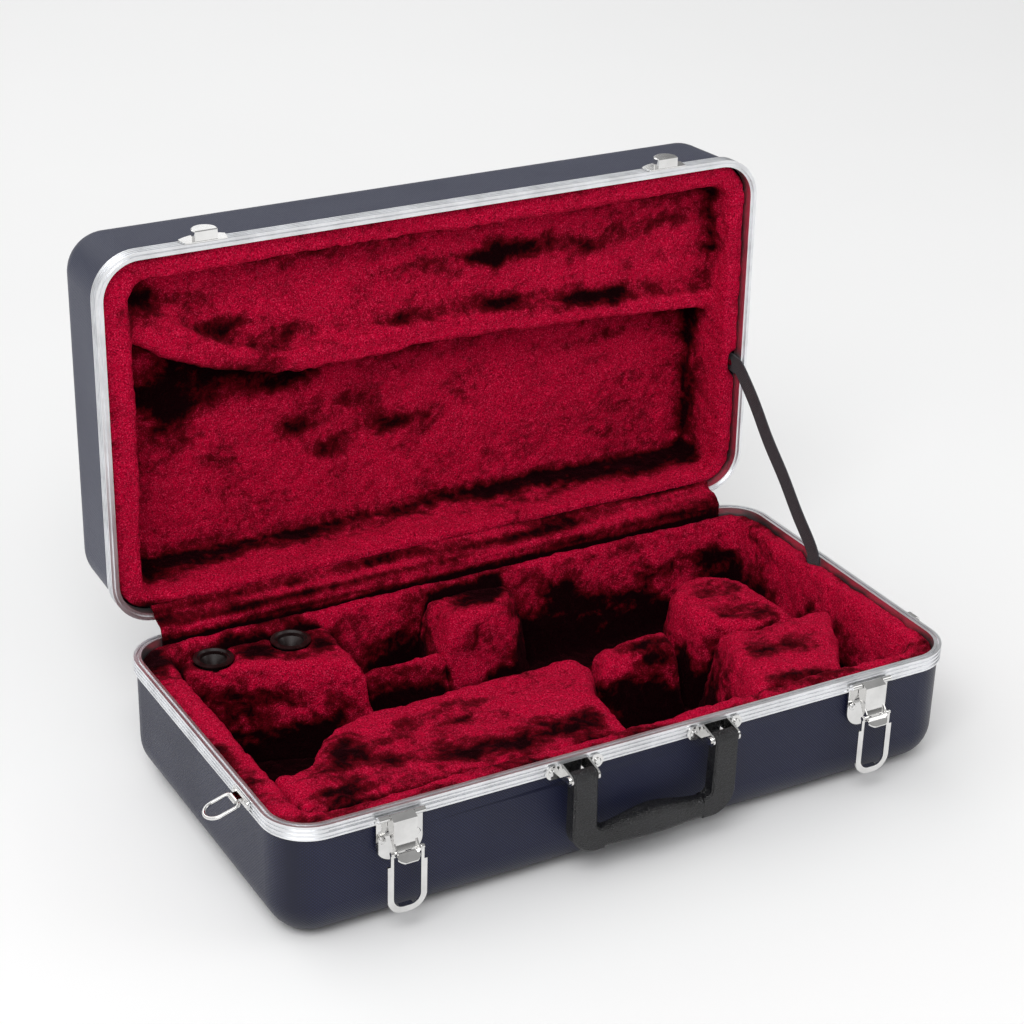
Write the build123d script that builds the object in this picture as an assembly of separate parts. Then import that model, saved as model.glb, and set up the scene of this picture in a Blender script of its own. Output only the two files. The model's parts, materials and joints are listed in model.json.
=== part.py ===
from build123d import *
import os
from math import atan2, cos, degrees, radians, sin

os.makedirs("parts", exist_ok=True)

# Driving dimensions, in mm. X runs along the case, -Y is the handle side,
# +Y the hinge side, and Z = 0 is the face that the closed case lies on.
CASE_LENGTH = 540.0
CASE_DEPTH = 280.0
BASE_HEIGHT = 94.0
LID_HEIGHT = 90.0
CORNER_RADIUS = 33.0
SEAM_GAP = 0.4
OPEN_ANGLE = 91.0
RUNNING = 0.08
CLEAR = 0.4

# Moulded shells
WALL = 2.0
SHELL_INSET = 2.0
EDGE_RADIUS = 29.0
BASE_DRAFT = 0.5
LID_DRAFT = 2.8

# Metal rims that clip over the edges of the shells
RIM_HEIGHT = 10.5
RIM_WIDTH = 5.4
RIM_WEB = 1.8
SLOT_CLEARANCE = 0.1
RIDGE_COUNT = 3
RIDGE_WIDTH = 1.3
RIDGE_DEPTH = 0.7
TONGUE_WIDTH = 1.0
TONGUE_HEIGHT = 1.3
TONGUE_CLEARANCE = 0.35

# Linings
LINING_GAP = 0.3
LINING_INSET = 5.9
LINING_DROP = 5.0
FLOOR_PAD = 8.0
WALL_PAD = 22.0
END_PAD = 15.0
REAR_PAD = 10.0
BLOCK_DROP = 11.0
BLOCK_ROUND = 9.0
BELL_BLOCK_ROUND = 6.0
POCKET_RADIUS = 14.0
BELL_AXIS_Y = 24.0
TUBE_HALF_WIDTH = 25.0
MOUTHPIECE_BLOCK_LENGTH = 125.0
DIVIDER_WIDTH = 13.0
DIVIDER_REAR_GAP = 36.0
CENTRE_BLOCK_OFFSET = -35.0
CENTRE_BLOCK_LENGTH = 75.0
VALVE_FROM_END = 163.0
SIDE_BLOCK_FROM_END = 74.6
SIDE_BLOCK_HALF = 37.0

# Mouthpiece cups
CUP_SPACING = 61.0
CUP_FROM_END = 29.1
CUP_REAR_MARGIN = 0.8
CUP_FLANGE_RADIUS = 14.8
CUP_FLANGE = 1.6
CUP_BODY_RADIUS = 10.0
CUP_DEPTH = 9.0
SOCKET_DEPTH = 45.0
CUP_DISH_RADIUS = 12.0
CUP_BORE_RADIUS = 6.5

# Lid lining
LID_LINING_DROP = 6.0
LID_FRONT_PAD = 18.0
LID_POCKET_DEPTH = 52.0
UPPER_PAD_DEPTH = 30.0
RIDGE_PAD_DEPTH = 20.0
LID_PANEL = 12.0

# Latches
LATCH_X = 187.5
LATCH_PLATE_WIDTH = 33.7
LATCH_PLATE_HEIGHT = 33.0
LATCH_SHEET = 1.2
LATCH_CORNER = 12.5
LATCH_HINGE_DROP = 5.0
KNUCKLE_RADIUS = 2.2
LATCH_PIN_RADIUS = 1.0
LEVER_WIDTH = 17.2
LEVER_SHEET = 1.0
LEVER_STANDOFF = 10.2
LEVER_HEIGHT = 16.2
TONGUE_ROOT_WIDTH = 13.0
TONGUE_TIP_WIDTH = 16.5
TONGUE_REACH = 10.0
TONGUE_DROP = 12.0
BAIL_PIVOT_OUT = 12.5
BAIL_PIVOT_DROP = 22.0
BAIL_EAR_RADIUS = 2.8
BAIL_WIDTH = 28.7
BAIL_ROUND = 12.0
BAIL_STRIP = 4.4
BAIL_LENGTH = 47.0
BAIL_THICKNESS = 1.5
BAIL_LEG = 2.2
BAIL_SHOULDER = 9.5
BAIL_PIN_RADIUS = 1.1
BAIL_LIP = 4.0

# Catches on the lid
CATCH_RADIUS = 9.25
CATCH_HEIGHT = 8.5
CATCH_RISE = 5.0
CATCH_FLAT = 3.8
CATCH_PLATE_WIDTH = 35.0
CATCH_PLATE_SHEET = 1.0

# Carrying handle
HANDLE_HALF_SPAN = 56.2
HANDLE_PIVOT_OUT = 12.5
HANDLE_PIVOT_DROP = 9.0
ARM_WIDTH = 18.4
ARM_THICKNESS = 11.0
ARM_OUTER_ROUND = 19.0
GRIP_LENGTH = 80.0
GRIP_HEIGHT = 16.5
GRIP_SWELL = 4.5
GRIP_ROUND = 4.5
HANDLE_DROP = 59.0
BRACKET_LENGTH = 44.6
BRACKET_HEIGHT = 10.6
BRACKET_SHEET = 1.5
NOTCH_DEPTH = 4.5
EAR_RADIUS = 4.2
HANDLE_PIN_RADIUS = 1.6
RIVET_SPACING = 35.2

# D-rings for a shoulder strap
D_RING_Y = -78.0
D_RING_WIRE = 1.3
D_RING_WIDTH = 17.0
D_RING_REACH = 22.0
D_RING_DROOP_LEFT = 17.0
D_RING_DROOP_RIGHT = 84.0
D_RING_PIVOT_OUT = 5.2
D_RING_PIVOT_DROP = 5.3
D_CLIP_LENGTH = 9.5
D_CLIP_SHEET = 1.2
D_CLIP_FOOT = 25.0
D_CLIP_RIVET = 9.2

# Rear hinges
HINGE_OUT = 7.9
HINGE_X = 165.0
HINGE_LENGTH = 40.0
HINGE_SHEET = 1.5
HINGE_KNUCKLE_RADIUS = 3.2
HINGE_PIN_RADIUS = 1.5
HINGE_LEAF_HEIGHT = 8.6

# Rivets
RIVET_HEAD_RADIUS = 2.6
RIVET_HEAD_HEIGHT = 1.2
RIVET_SHANK_RADIUS = 1.3

# Lid stay strap
STRAP_WIDTH = 12.0
STRAP_THICKNESS = 1.3
STRAP_ANCHOR_REACH = 114.0
STRAP_TAIL = 17.0
STRAP_PLAY = 0.7

# Plush flap that covers the hinge gap
COVER_THICKNESS = 1.6
COVER_START = -240.0
COVER_END = 240.0

HALF_LENGTH = CASE_LENGTH / 2
HALF_DEPTH = CASE_DEPTH / 2
HINGE_Y = HALF_DEPTH + HINGE_OUT
HINGE_AXIS = Axis((0, HINGE_Y, BASE_HEIGHT), (1, 0, 0))
LID_BOTTOM = BASE_HEIGHT + SEAM_GAP
LID_TOP = BASE_HEIGHT + LID_HEIGHT
FLOOR = WALL + LINING_GAP + FLOOR_PAD
BLOCK_TOP = BASE_HEIGHT - BLOCK_DROP
LINING_TOP = BASE_HEIGHT - LINING_DROP

# Local frames: outward distance and height, for parts on the front wall
SECTION = Plane(origin=(0, 0, 0), x_dir=(0, -1, 0), z_dir=(-1, 0, 0))


def save(name, shape):
    export_step(shape, f"parts/{name}.step")


def open_lid(shape):
    """Turn a piece modelled on the closed lid to the open rest position."""
    return shape.rotate(HINGE_AXIS, -OPEN_ANGLE)


def plan(inset):
    """The rounded plan outline of the case, drawn in by an inset."""
    return RectangleRounded(
        CASE_LENGTH - 2 * inset, CASE_DEPTH - 2 * inset, CORNER_RADIUS - inset
    )


def rise(outline, low, high):
    return Pos(0, 0, low) * extrude(outline, high - low, dir=(0, 0, 1))


def slab(inset, low, high):
    return rise(plan(inset), low, high)


def dished_block(inset, height, draft, edge_radius):
    """A block of the plan outline, drawn in and rounded at its far face."""
    block = slab(inset, 0, RIM_HEIGHT)
    drawn = height - RIM_HEIGHT
    slope = degrees(atan2(draft, drawn))
    block += Pos(0, 0, RIM_HEIGHT) * extrude(plan(inset), drawn, taper=slope)
    widest = CORNER_RADIUS - inset - draft - CLEAR
    far_edges = block.faces().sort_by(Axis.Z)[-1].edges()
    return fillet(far_edges, min(edge_radius, widest))


def shell(height, draft):
    """A moulded half shell, open at Z = 0 and closed at its height."""
    outer = dished_block(SHELL_INSET, height, draft, EDGE_RADIUS)
    inner = dished_block(SHELL_INSET + WALL, height - WALL, draft, EDGE_RADIUS - WALL)
    return outer - inner


def liner_block(inset, height, draft):
    """The space inside a shell that its lining fills."""
    return dished_block(inset, height, draft, EDGE_RADIUS - WALL - LINING_GAP)


def base_frame(shape):
    """Turn a half modelled with its open edge at Z = 0 over onto its back."""
    return Pos(0, 0, BASE_HEIGHT) * shape.mirror(Plane.XY)


def lid_frame(shape):
    return open_lid(Pos(0, 0, BASE_HEIGHT) * shape)


def rim(seam):
    """A metal rim in the half's own frame: seam side at Z = seam."""
    ring = slab(0, seam, RIM_HEIGHT) - slab(RIM_WIDTH, seam, RIM_HEIGHT)
    slot_side = SHELL_INSET - SLOT_CLEARANCE
    slot_end = SHELL_INSET + WALL + SLOT_CLEARANCE
    ring -= slab(slot_side, seam + RIM_WEB, RIM_HEIGHT) - slab(
        slot_end, seam + RIM_WEB, RIM_HEIGHT
    )
    pitch = (RIM_HEIGHT - seam - RIDGE_WIDTH) / RIDGE_COUNT
    for i in range(RIDGE_COUNT):
        low = seam + RIDGE_WIDTH + i * pitch
        high = low + pitch - RIDGE_WIDTH
        ring -= slab(0, low, high) - slab(RIDGE_DEPTH, low, high)
    return ring


def base_rim():
    middle = RIM_WIDTH / 2
    half = TONGUE_WIDTH / 2 + TONGUE_CLEARANCE
    depth = TONGUE_HEIGHT + TONGUE_CLEARANCE - SEAM_GAP
    groove = slab(middle - half, 0, depth) - slab(middle + half, 0, depth)
    return base_frame(rim(0) - groove)


def lid_rim():
    middle = RIM_WIDTH / 2
    half = TONGUE_WIDTH / 2
    low = SEAM_GAP - TONGUE_HEIGHT
    tongue = slab(middle - half, low, SEAM_GAP) - slab(middle + half, low, SEAM_GAP)
    return lid_frame(rim(SEAM_GAP) + tongue)


def base_shell():
    edge = RIM_WEB + SLOT_CLEARANCE
    body = base_frame(shell(BASE_HEIGHT, BASE_DRAFT) - slab(0, 0, edge))
    for hole in latch_rivet_holes() + handle_anchor_holes() + [stay_hole(-1)]:
        body -= hole
    return body


def lid_shell():
    edge = SEAM_GAP + RIM_WEB + SLOT_CLEARANCE
    body = shell(LID_HEIGHT, LID_DRAFT) - slab(0, 0, edge)
    return open_lid(Pos(0, 0, BASE_HEIGHT) * body - stay_hole(1))


# Linings of the base
POCKET_LEFT = -HALF_LENGTH + LINING_INSET + WALL_PAD + 2
POCKET_RIGHT = HALF_LENGTH - LINING_INSET - END_PAD
POCKET_FRONT = -HALF_DEPTH + LINING_INSET + WALL_PAD
POCKET_REAR = HALF_DEPTH - LINING_INSET - REAR_PAD


def strap_relief():
    """The slot beside the lining that the stay strap runs in."""
    reach = STRAP_THICKNESS + 2 * STRAP_PLAY + RIVET_HEAD_HEIGHT
    x = HALF_LENGTH - RIM_WIDTH - reach / 2
    y = HINGE_Y - STRAP_ANCHOR_REACH
    return Pos(x, y, BASE_HEIGHT) * Box(
        reach, STRAP_WIDTH + 6, 2 * (STRAP_TAIL + LINING_DROP)
    )


def base_padding():
    """The whole padding of the base before its pocket is cut."""
    block = liner_block(LINING_INSET, BASE_HEIGHT - WALL - LINING_GAP, BASE_DRAFT)
    return base_frame(block - slab(0, 0, LINING_DROP))


def base_pads():
    """The floor pad, two long wall pads and two end pads with the corners."""
    whole = base_padding()
    width = POCKET_RIGHT - POCKET_LEFT
    depth = POCKET_REAR - POCKET_FRONT
    pocket = RectangleRounded(width, depth, POCKET_RADIUS)
    centre = Pos((POCKET_LEFT + POCKET_RIGHT) / 2, (POCKET_FRONT + POCKET_REAR) / 2)
    walls = whole - rise(centre * pocket, FLOOR, BASE_HEIGHT) - strap_relief()
    left = POCKET_LEFT + POCKET_RADIUS
    right = POCKET_RIGHT - POCKET_RADIUS
    regions = {
        "base_front_pad": (left, right, -CASE_DEPTH, 0.0),
        "base_rear_pad": (left, right, 0.0, CASE_DEPTH),
        "base_left_pad": (-CASE_LENGTH, left, -CASE_DEPTH, CASE_DEPTH),
        "base_right_pad": (right, CASE_LENGTH, -CASE_DEPTH, CASE_DEPTH),
    }
    pads = {"base_floor_pad": whole & slab(0, 0, FLOOR)}
    for name, (low_x, high_x, low_y, high_y) in regions.items():
        middle = Pos((low_x + high_x) / 2, (low_y + high_y) / 2)
        region = middle * Rectangle(high_x - low_x, high_y - low_y)
        pads[name] = walls & rise(region, FLOOR, BASE_HEIGHT)
    return pads


def block_from(outline, top, rounding=BLOCK_ROUND):
    """A padded block on the floor, with its top edge rounded over."""
    block = rise(outline, FLOOR, top)
    return fillet(block.faces().sort_by(Axis.Z)[-1].edges(), rounding)


def pad_outline(start, steps):
    """A closed outline of straight runs and curves from its corner points."""
    lines = []
    here = start
    for kind, *points in steps:
        if kind == "line":
            lines.append(Line(here, points[0]))
        else:
            lines.append(ThreePointArc(here, points[0], points[1]))
        here = points[-1]
    return make_face(Wire(lines))


# The bell lies along X, between its tube's front and rear edges
TUBE_FRONT = BELL_AXIS_Y - TUBE_HALF_WIDTH
TUBE_REAR = BELL_AXIS_Y + TUBE_HALF_WIDTH
SEAT = 0.3
BLOCK_LEFT = POCKET_LEFT + SEAT
BLOCK_FRONT = POCKET_FRONT + SEAT
BLOCK_REAR = POCKET_REAR - SEAT
MOUTHPIECE_RIGHT = BLOCK_LEFT + MOUTHPIECE_BLOCK_LENGTH
CUP_Y = POCKET_REAR - CUP_REAR_MARGIN - CUP_FLANGE_RADIUS
VALVE_X = POCKET_RIGHT - VALVE_FROM_END
SIDE_BLOCK_X = POCKET_RIGHT - SIDE_BLOCK_FROM_END
SIDE_BLOCK_FRONT = TUBE_FRONT - 23.0


def mouthpiece_block():
    """The rear left block, with the bell's flare cut into its front."""
    left, right, rear = BLOCK_LEFT, MOUTHPIECE_RIGHT, BLOCK_REAR
    outline = pad_outline(
        (left, rear - POCKET_RADIUS),
        [
            ("line", (left, rear - 32.0)),
            ("arc", (left + 75.0, rear - 51.0), (right, TUBE_REAR)),
            ("line", (right, rear)),
            ("line", (left + POCKET_RADIUS, rear)),
            ("line", (left, rear - POCKET_RADIUS)),
        ],
    )
    block = block_from(outline, BLOCK_TOP)
    for x in cup_places():
        hole = Cylinder(CUP_BODY_RADIUS + CLEAR, SOCKET_DEPTH)
        block -= Pos(x, CUP_Y, BLOCK_TOP - SOCKET_DEPTH / 2) * hole
    return block


def bell_side_block():
    """The long front block that the bell's tube and flare lie against."""
    left, front, edge = BLOCK_LEFT, BLOCK_FRONT, TUBE_FRONT
    right = VALVE_X - 54.0
    outline = pad_outline(
        (left + POCKET_RADIUS, front),
        [
            ("line", (right - 18.0, front)),
            ("line", (right - 18.0, edge - 55.0)),
            ("line", (right, edge - 19.0)),
            ("line", (right - 8.0, edge + 4.0)),
            ("line", (left + 122.0, edge)),
            ("arc", (left + 70.0, edge - 8.0), (left + 35.0, edge - 41.0)),
            ("arc", (left + 24.0, edge - 50.0), (left + 10.0, edge - 50.0)),
            ("line", (left, edge - 44.0)),
            ("line", (left, front + POCKET_RADIUS)),
            ("line", (left + POCKET_RADIUS, front)),
        ],
    )
    return block_from(outline, BLOCK_TOP - 2, BELL_BLOCK_ROUND)


def rear_divider():
    """The low wall between the accessory pocket and the bell's tube."""
    left = MOUTHPIECE_RIGHT + SEAT
    right = CENTRE_BLOCK_OFFSET - SEAT
    middle = BLOCK_REAR - DIVIDER_REAR_GAP - DIVIDER_WIDTH / 2
    outline = Pos((left + right) / 2, middle) * Rectangle(right - left, DIVIDER_WIDTH)
    return block_from(outline, BLOCK_TOP - 24, min(BLOCK_ROUND, 0.45 * DIVIDER_WIDTH))


def rear_centre_block():
    left, rear = CENTRE_BLOCK_OFFSET, BLOCK_REAR
    right = left + CENTRE_BLOCK_LENGTH
    outline = Polygon(
        (left, rear - 46.0), (right - 16.0, rear - 40.0), (right, rear - 20.0),
        (right, rear), (left, rear), align=None,
    )
    return block_from(outline, BLOCK_TOP)


def valve_rest():
    """The low rest under the valves, turned with the instrument."""
    x, y = VALVE_X, BELL_AXIS_Y
    outline = Polygon(
        (x - 40.0, y - 32.0), (x + 32.0, y - 26.0), (x + 40.0, y + 6.0), (x - 30.0, y),
        align=None,
    )
    return block_from(outline, BLOCK_TOP - 16)


def valve_side_block():
    front, rear, right = BLOCK_FRONT, SIDE_BLOCK_FRONT, POCKET_RIGHT
    outline = Polygon(
        (VALVE_X + 24.0, front), (right - 59.0, front), (right - 9.0, rear),
        (right - 77.0, rear), (VALVE_X + 54.0, rear + 10.0), align=None,
    )
    return block_from(outline, BLOCK_TOP)


def rear_side_block():
    """The round-ended block that the tuning slide's bow goes round."""
    x, half = SIDE_BLOCK_X, SIDE_BLOCK_HALF
    low = SIDE_BLOCK_FRONT + SEAT
    straight = TUBE_FRONT + 33.0
    outline = pad_outline(
        (x - half, low + 24.0),
        [
            ("line", (x - 2.0, low)),
            ("line", (x + half, low)),
            ("line", (x + half, straight)),
            ("arc", (x, straight + half), (x - half, straight)),
            ("line", (x - half, low + 24.0)),
        ],
    )
    return block_from(outline, BLOCK_TOP - 3)


def cup_places():
    first = POCKET_LEFT + CUP_FROM_END
    return [first, first + CUP_SPACING]


def mouthpiece_cup():
    """A flanged funnel over the tube that holds the mouthpiece's shank."""
    profile = Polyline(
        (CUP_BORE_RADIUS, -CUP_DEPTH),
        (CUP_BORE_RADIUS, -SOCKET_DEPTH),
        (CUP_BODY_RADIUS, -SOCKET_DEPTH),
        (CUP_BODY_RADIUS, 0),
        (CUP_FLANGE_RADIUS, 0),
        (CUP_FLANGE_RADIUS, CUP_FLANGE / 2),
        (CUP_DISH_RADIUS, CUP_FLANGE),
        (CUP_BORE_RADIUS, -CUP_DEPTH),
    )
    return revolve(Plane.XZ * make_face(profile), Axis.Z)


# Linings of the lid, in the closed lid's frame with its seam at Z = 0
LID_LEFT = -HALF_LENGTH + LINING_INSET + WALL_PAD
LID_RIGHT = HALF_LENGTH - LINING_INSET - END_PAD
LID_FRONT = -HALF_DEPTH + LINING_INSET + LID_FRONT_PAD
LID_REAR = HALF_DEPTH - LINING_INSET - REAR_PAD
RIDGE_LOWER = [
    (LID_LEFT, LID_FRONT + 48.0),
    (LID_LEFT + 31.0, LID_FRONT + 65.0),
    (LID_LEFT + 92.0, LID_FRONT + 88.0),
    (LID_LEFT + 229.0, LID_FRONT + 93.0),
    (LID_RIGHT - 115.0, LID_FRONT + 96.0),
    (LID_RIGHT, LID_FRONT + 106.0),
]
RIDGE_UPPER = [
    (LID_LEFT, LID_FRONT + 18.0),
    (LID_LEFT + 27.0, LID_FRONT + 34.0),
    (LID_LEFT + 89.0, LID_FRONT + 68.0),
    (LID_LEFT + 217.0, LID_FRONT + 71.0),
    (LID_RIGHT - 127.0, LID_FRONT + 80.0),
    (LID_RIGHT, LID_FRONT + 90.0),
]


def lid_pocket_outline():
    width = LID_RIGHT - LID_LEFT
    depth = LID_REAR - LID_FRONT
    centre = Pos((LID_LEFT + LID_RIGHT) / 2, (LID_FRONT + LID_REAR) / 2)
    return centre * RectangleRounded(width, depth, POCKET_RADIUS)


def lid_lining():
    """A frame of wall pads round one deep pocket, with a panel behind it."""
    height = LID_HEIGHT - WALL - LINING_GAP
    block = liner_block(LINING_INSET, height, LID_DRAFT) - slab(0, 0, LID_LINING_DROP)
    block -= rise(lid_pocket_outline(), 0, LID_POCKET_DEPTH)
    inset = EDGE_RADIUS
    back = height - LID_PANEL - LID_POCKET_DEPTH
    hollow = slab(inset, height - back, height - LID_PANEL / 2)
    relief = Pos(0, 0, -BASE_HEIGHT) * strap_relief()
    return lid_frame(block - hollow - relief)


def curve_band(first, second):
    """A face between two smooth curves that run along the lid."""
    edge_one = Spline(*first)
    edge_two = Spline(*second)
    return make_face(
        Wire([edge_one, Line(first[-1], second[-1]), edge_two, Line(second[0], first[0])])
    )


def lid_upper_pad():
    """The thick pad in the front half of the lid's pocket."""
    front_edge = LID_FRONT + SEAT
    left = LID_LEFT
    right = LID_RIGHT
    lower = Spline(*RIDGE_LOWER)
    outline = make_face(
        Wire(
            [
                lower,
                Line(RIDGE_LOWER[-1], (right, front_edge)),
                Line((right, front_edge), (left, front_edge)),
                Line((left, front_edge), RIDGE_LOWER[0]),
            ]
        )
    )
    pad = rise(outline, UPPER_PAD_DEPTH, LID_POCKET_DEPTH)
    return lid_frame(pad & rise(offset(lid_pocket_outline(), -SEAT), 0, LID_POCKET_DEPTH))


def lid_ridge():
    """The raised roll of padding along the upper pad's edge."""
    band = curve_band(RIDGE_LOWER, RIDGE_UPPER)
    roll = rise(band, RIDGE_PAD_DEPTH, UPPER_PAD_DEPTH)
    return lid_frame(roll & rise(offset(lid_pocket_outline(), -SEAT), 0, LID_POCKET_DEPTH))


def hinge_cover():
    """The plush flap from the base lining's rear wall to the lid lining."""
    half = COVER_THICKNESS / 2
    tuck = HALF_DEPTH - LINING_INSET - half - SEAT
    lip = BASE_HEIGHT + HINGE_OUT + RIM_WIDTH + half
    lid_face = HINGE_Y + LID_LINING_DROP - half - SEAT
    path = Polyline(
        (-tuck, LINING_TOP + SEAT),
        (-tuck, BASE_HEIGHT + half),
        (-HINGE_Y, lip + half),
        (-lid_face, lip + 4 * half),
    )
    strip = trace(path, COVER_THICKNESS)
    flap = extrude(SECTION * strip, (COVER_END - COVER_START) / 2, both=True)
    return Pos((COVER_START + COVER_END) / 2, 0, 0) * flap


# Rivets and their holes
def rivet(shank):
    """A domed rivet whose head faces -Y, seated at Y = 0."""
    half = Polyline(
        (0, -shank),
        (RIVET_SHANK_RADIUS, -shank),
        (RIVET_SHANK_RADIUS, 0),
        (RIVET_HEAD_RADIUS, 0),
        (RIVET_HEAD_RADIUS, RIVET_HEAD_HEIGHT / 2),
        (RIVET_HEAD_RADIUS * 0.7, RIVET_HEAD_HEIGHT),
        (0, RIVET_HEAD_HEIGHT),
        (0, -shank),
    )
    body = revolve(Plane.XZ * make_face(half), Axis.Z)
    return body.rotate(Axis.X, 90)


def rivet_hole(depth):
    hole = Cylinder(RIVET_SHANK_RADIUS + RUNNING, 2 * depth)
    return hole.rotate(Axis.X, 90)


def front_place(x, outward, drop):
    """A location on the front wall, measured from the seam's outer edge."""
    return Pos(x, -HALF_DEPTH - outward, BASE_HEIGHT - drop)


def elevation(sketch, thickness, standoff=0):
    return extrude(Plane.XZ.offset(standoff) * sketch, thickness, dir=(0, -1, 0))


def section(sketch, width):
    return extrude(SECTION * sketch, width / 2, both=True)


# Latches, in a frame at the seam's outer edge with the hinge below it
LATCH_AXIS_OUT = LATCH_SHEET + CLEAR + KNUCKLE_RADIUS
LATCH_RIVETS = [(-12.6, 17.5), (12.6, 17.5)]


def latch_rivet_places():
    return [
        (side * LATCH_X + dx, LATCH_HINGE_DROP + drop)
        for side in (-1, 1)
        for dx, drop in LATCH_RIVETS
    ]


def latch_rivet_holes():
    """Holes through the front wall of the base shell, one for each rivet."""
    return [
        front_place(x, 0, drop) * rivet_hole(SHELL_INSET + 2 * WALL)
        for x, drop in latch_rivet_places()
    ]


def latch_rivets():
    shank = LATCH_SHEET + SHELL_INSET + WALL
    return Compound(
        [
            front_place(x, LATCH_SHEET, drop) * rivet(shank)
            for x, drop in latch_rivet_places()
        ]
    )


def knuckle(radius, length):
    return Cylinder(radius, length).rotate(Axis.Y, 90)


def latch_plate():
    top = LATCH_HINGE_DROP + 1
    bottom = top + LATCH_PLATE_HEIGHT
    outline = Pos(0, -(top + bottom) / 2) * Rectangle(LATCH_PLATE_WIDTH, bottom - top)
    outline = fillet(outline.vertices().sort_by(Axis.Y)[:2], LATCH_CORNER)
    plate = elevation(outline, LATCH_SHEET)
    half = LATCH_PLATE_WIDTH / 2
    inner = LEVER_WIDTH / 2 + CLEAR
    length = half - inner
    for side in (-1, 1):
        curl = Pos(LATCH_AXIS_OUT, -LATCH_HINGE_DROP) * Circle(KNUCKLE_RADIUS)
        low = LATCH_HINGE_DROP + KNUCKLE_RADIUS
        web = Pos(LATCH_AXIS_OUT / 2, -low + LATCH_SHEET / 2) * Rectangle(
            LATCH_AXIS_OUT, LATCH_SHEET
        )
        plate += Pos(side * (inner + length / 2), 0, 0) * section(curl + web, length)
    bore = knuckle(LATCH_PIN_RADIUS + RUNNING / 2, LATCH_PLATE_WIDTH + 2)
    plate -= Pos(0, -LATCH_AXIS_OUT, -LATCH_HINGE_DROP) * bore
    for dx, drop in LATCH_RIVETS:
        plate -= Pos(dx, 0, -LATCH_HINGE_DROP - drop) * rivet_hole(2 * LATCH_SHEET)
    return plate


def latch_pin():
    pin = knuckle(LATCH_PIN_RADIUS, LATCH_PLATE_WIDTH)
    return Pos(0, -LATCH_AXIS_OUT, -LATCH_HINGE_DROP) * pin


def lever_side():
    """The lever's side outline: hinge eye, front face and bail ear."""
    axis = (LATCH_AXIS_OUT, -LATCH_HINGE_DROP)
    ear = (BAIL_PIVOT_OUT, -LATCH_HINGE_DROP - BAIL_PIVOT_DROP)
    top = axis[1] + KNUCKLE_RADIUS
    front_top = (LEVER_STANDOFF, axis[1])
    front_low = (LEVER_STANDOFF, axis[1] - LEVER_HEIGHT)
    body = Polygon(
        (axis[0], top),
        front_top,
        front_low,
        (ear[0] + BAIL_EAR_RADIUS, ear[1]),
        (ear[0] - BAIL_EAR_RADIUS, ear[1] - 1),
        (axis[0] - KNUCKLE_RADIUS, axis[1] - LEVER_HEIGHT / 2),
        (axis[0] - KNUCKLE_RADIUS, axis[1]),
        align=None,
    )
    return body + Pos(*axis) * Circle(KNUCKLE_RADIUS) + Pos(*ear) * Circle(BAIL_EAR_RADIUS)


def lever_tongue():
    """The flared finger tab under the lever's front face."""
    root = (LEVER_STANDOFF - LEVER_SHEET, -LATCH_HINGE_DROP - LEVER_HEIGHT + LEVER_SHEET)
    tip = (root[0] + TONGUE_REACH, root[1] - TONGUE_DROP)
    middle = (root[0] + TONGUE_REACH * 0.36, root[1] - TONGUE_DROP * 0.68)
    outer = ThreePointArc(root, middle, tip)
    sheet = section(trace(outer, LEVER_SHEET), LEVER_WIDTH)
    half_root = TONGUE_ROOT_WIDTH / 2
    half_tip = TONGUE_TIP_WIDTH / 2
    neck = root[0] - LEVER_SHEET
    shoulder = tip[0] - TONGUE_REACH * 0.35
    end = tip[0] + LEVER_SHEET
    outline = make_face(
        Wire(
            [
                Line((-half_root, -neck), (half_root, -neck)),
                Line((half_root, -neck), (half_tip, -shoulder)),
                ThreePointArc((half_tip, -shoulder), (0, -end), (-half_tip, -shoulder)),
                Line((-half_tip, -shoulder), (-half_root, -neck)),
            ]
        )
    )
    reach = 3 * LEVER_HEIGHT
    return sheet & rise(outline, -reach, 0)


def latch_lever():
    """A pressed channel: two sides, front face, top face and finger tab."""
    side = lever_side()
    body = section(side, LEVER_WIDTH)
    axis = (LATCH_AXIS_OUT, -LATCH_HINGE_DROP)
    front = LEVER_STANDOFF - LEVER_SHEET
    low = axis[1] - LEVER_HEIGHT - BAIL_PIVOT_DROP
    hollow = Polygon(
        (0, axis[1]),
        (axis[0], axis[1] + KNUCKLE_RADIUS - LEVER_SHEET * 1.05),
        (front, axis[1] - LEVER_SHEET * 1.05),
        (front, axis[1] - LEVER_HEIGHT),
        (BAIL_PIVOT_OUT + 2 * BAIL_EAR_RADIUS, axis[1] - LEVER_HEIGHT),
        (BAIL_PIVOT_OUT + 2 * BAIL_EAR_RADIUS, low),
        (0, low),
        align=None,
    )
    body -= section(hollow, LEVER_WIDTH - 2 * LEVER_SHEET)
    body += section(Pos(*axis) * Circle(KNUCKLE_RADIUS), LEVER_WIDTH)
    body += lever_tongue()
    bore = knuckle(LATCH_PIN_RADIUS + RUNNING, LEVER_WIDTH + 2)
    body -= Pos(0, -axis[0], axis[1]) * bore
    ear_bore = knuckle(BAIL_PIN_RADIUS + RUNNING, LEVER_WIDTH + 2)
    return body - Pos(0, -BAIL_PIVOT_OUT, axis[1] - BAIL_PIVOT_DROP) * ear_bore


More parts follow.
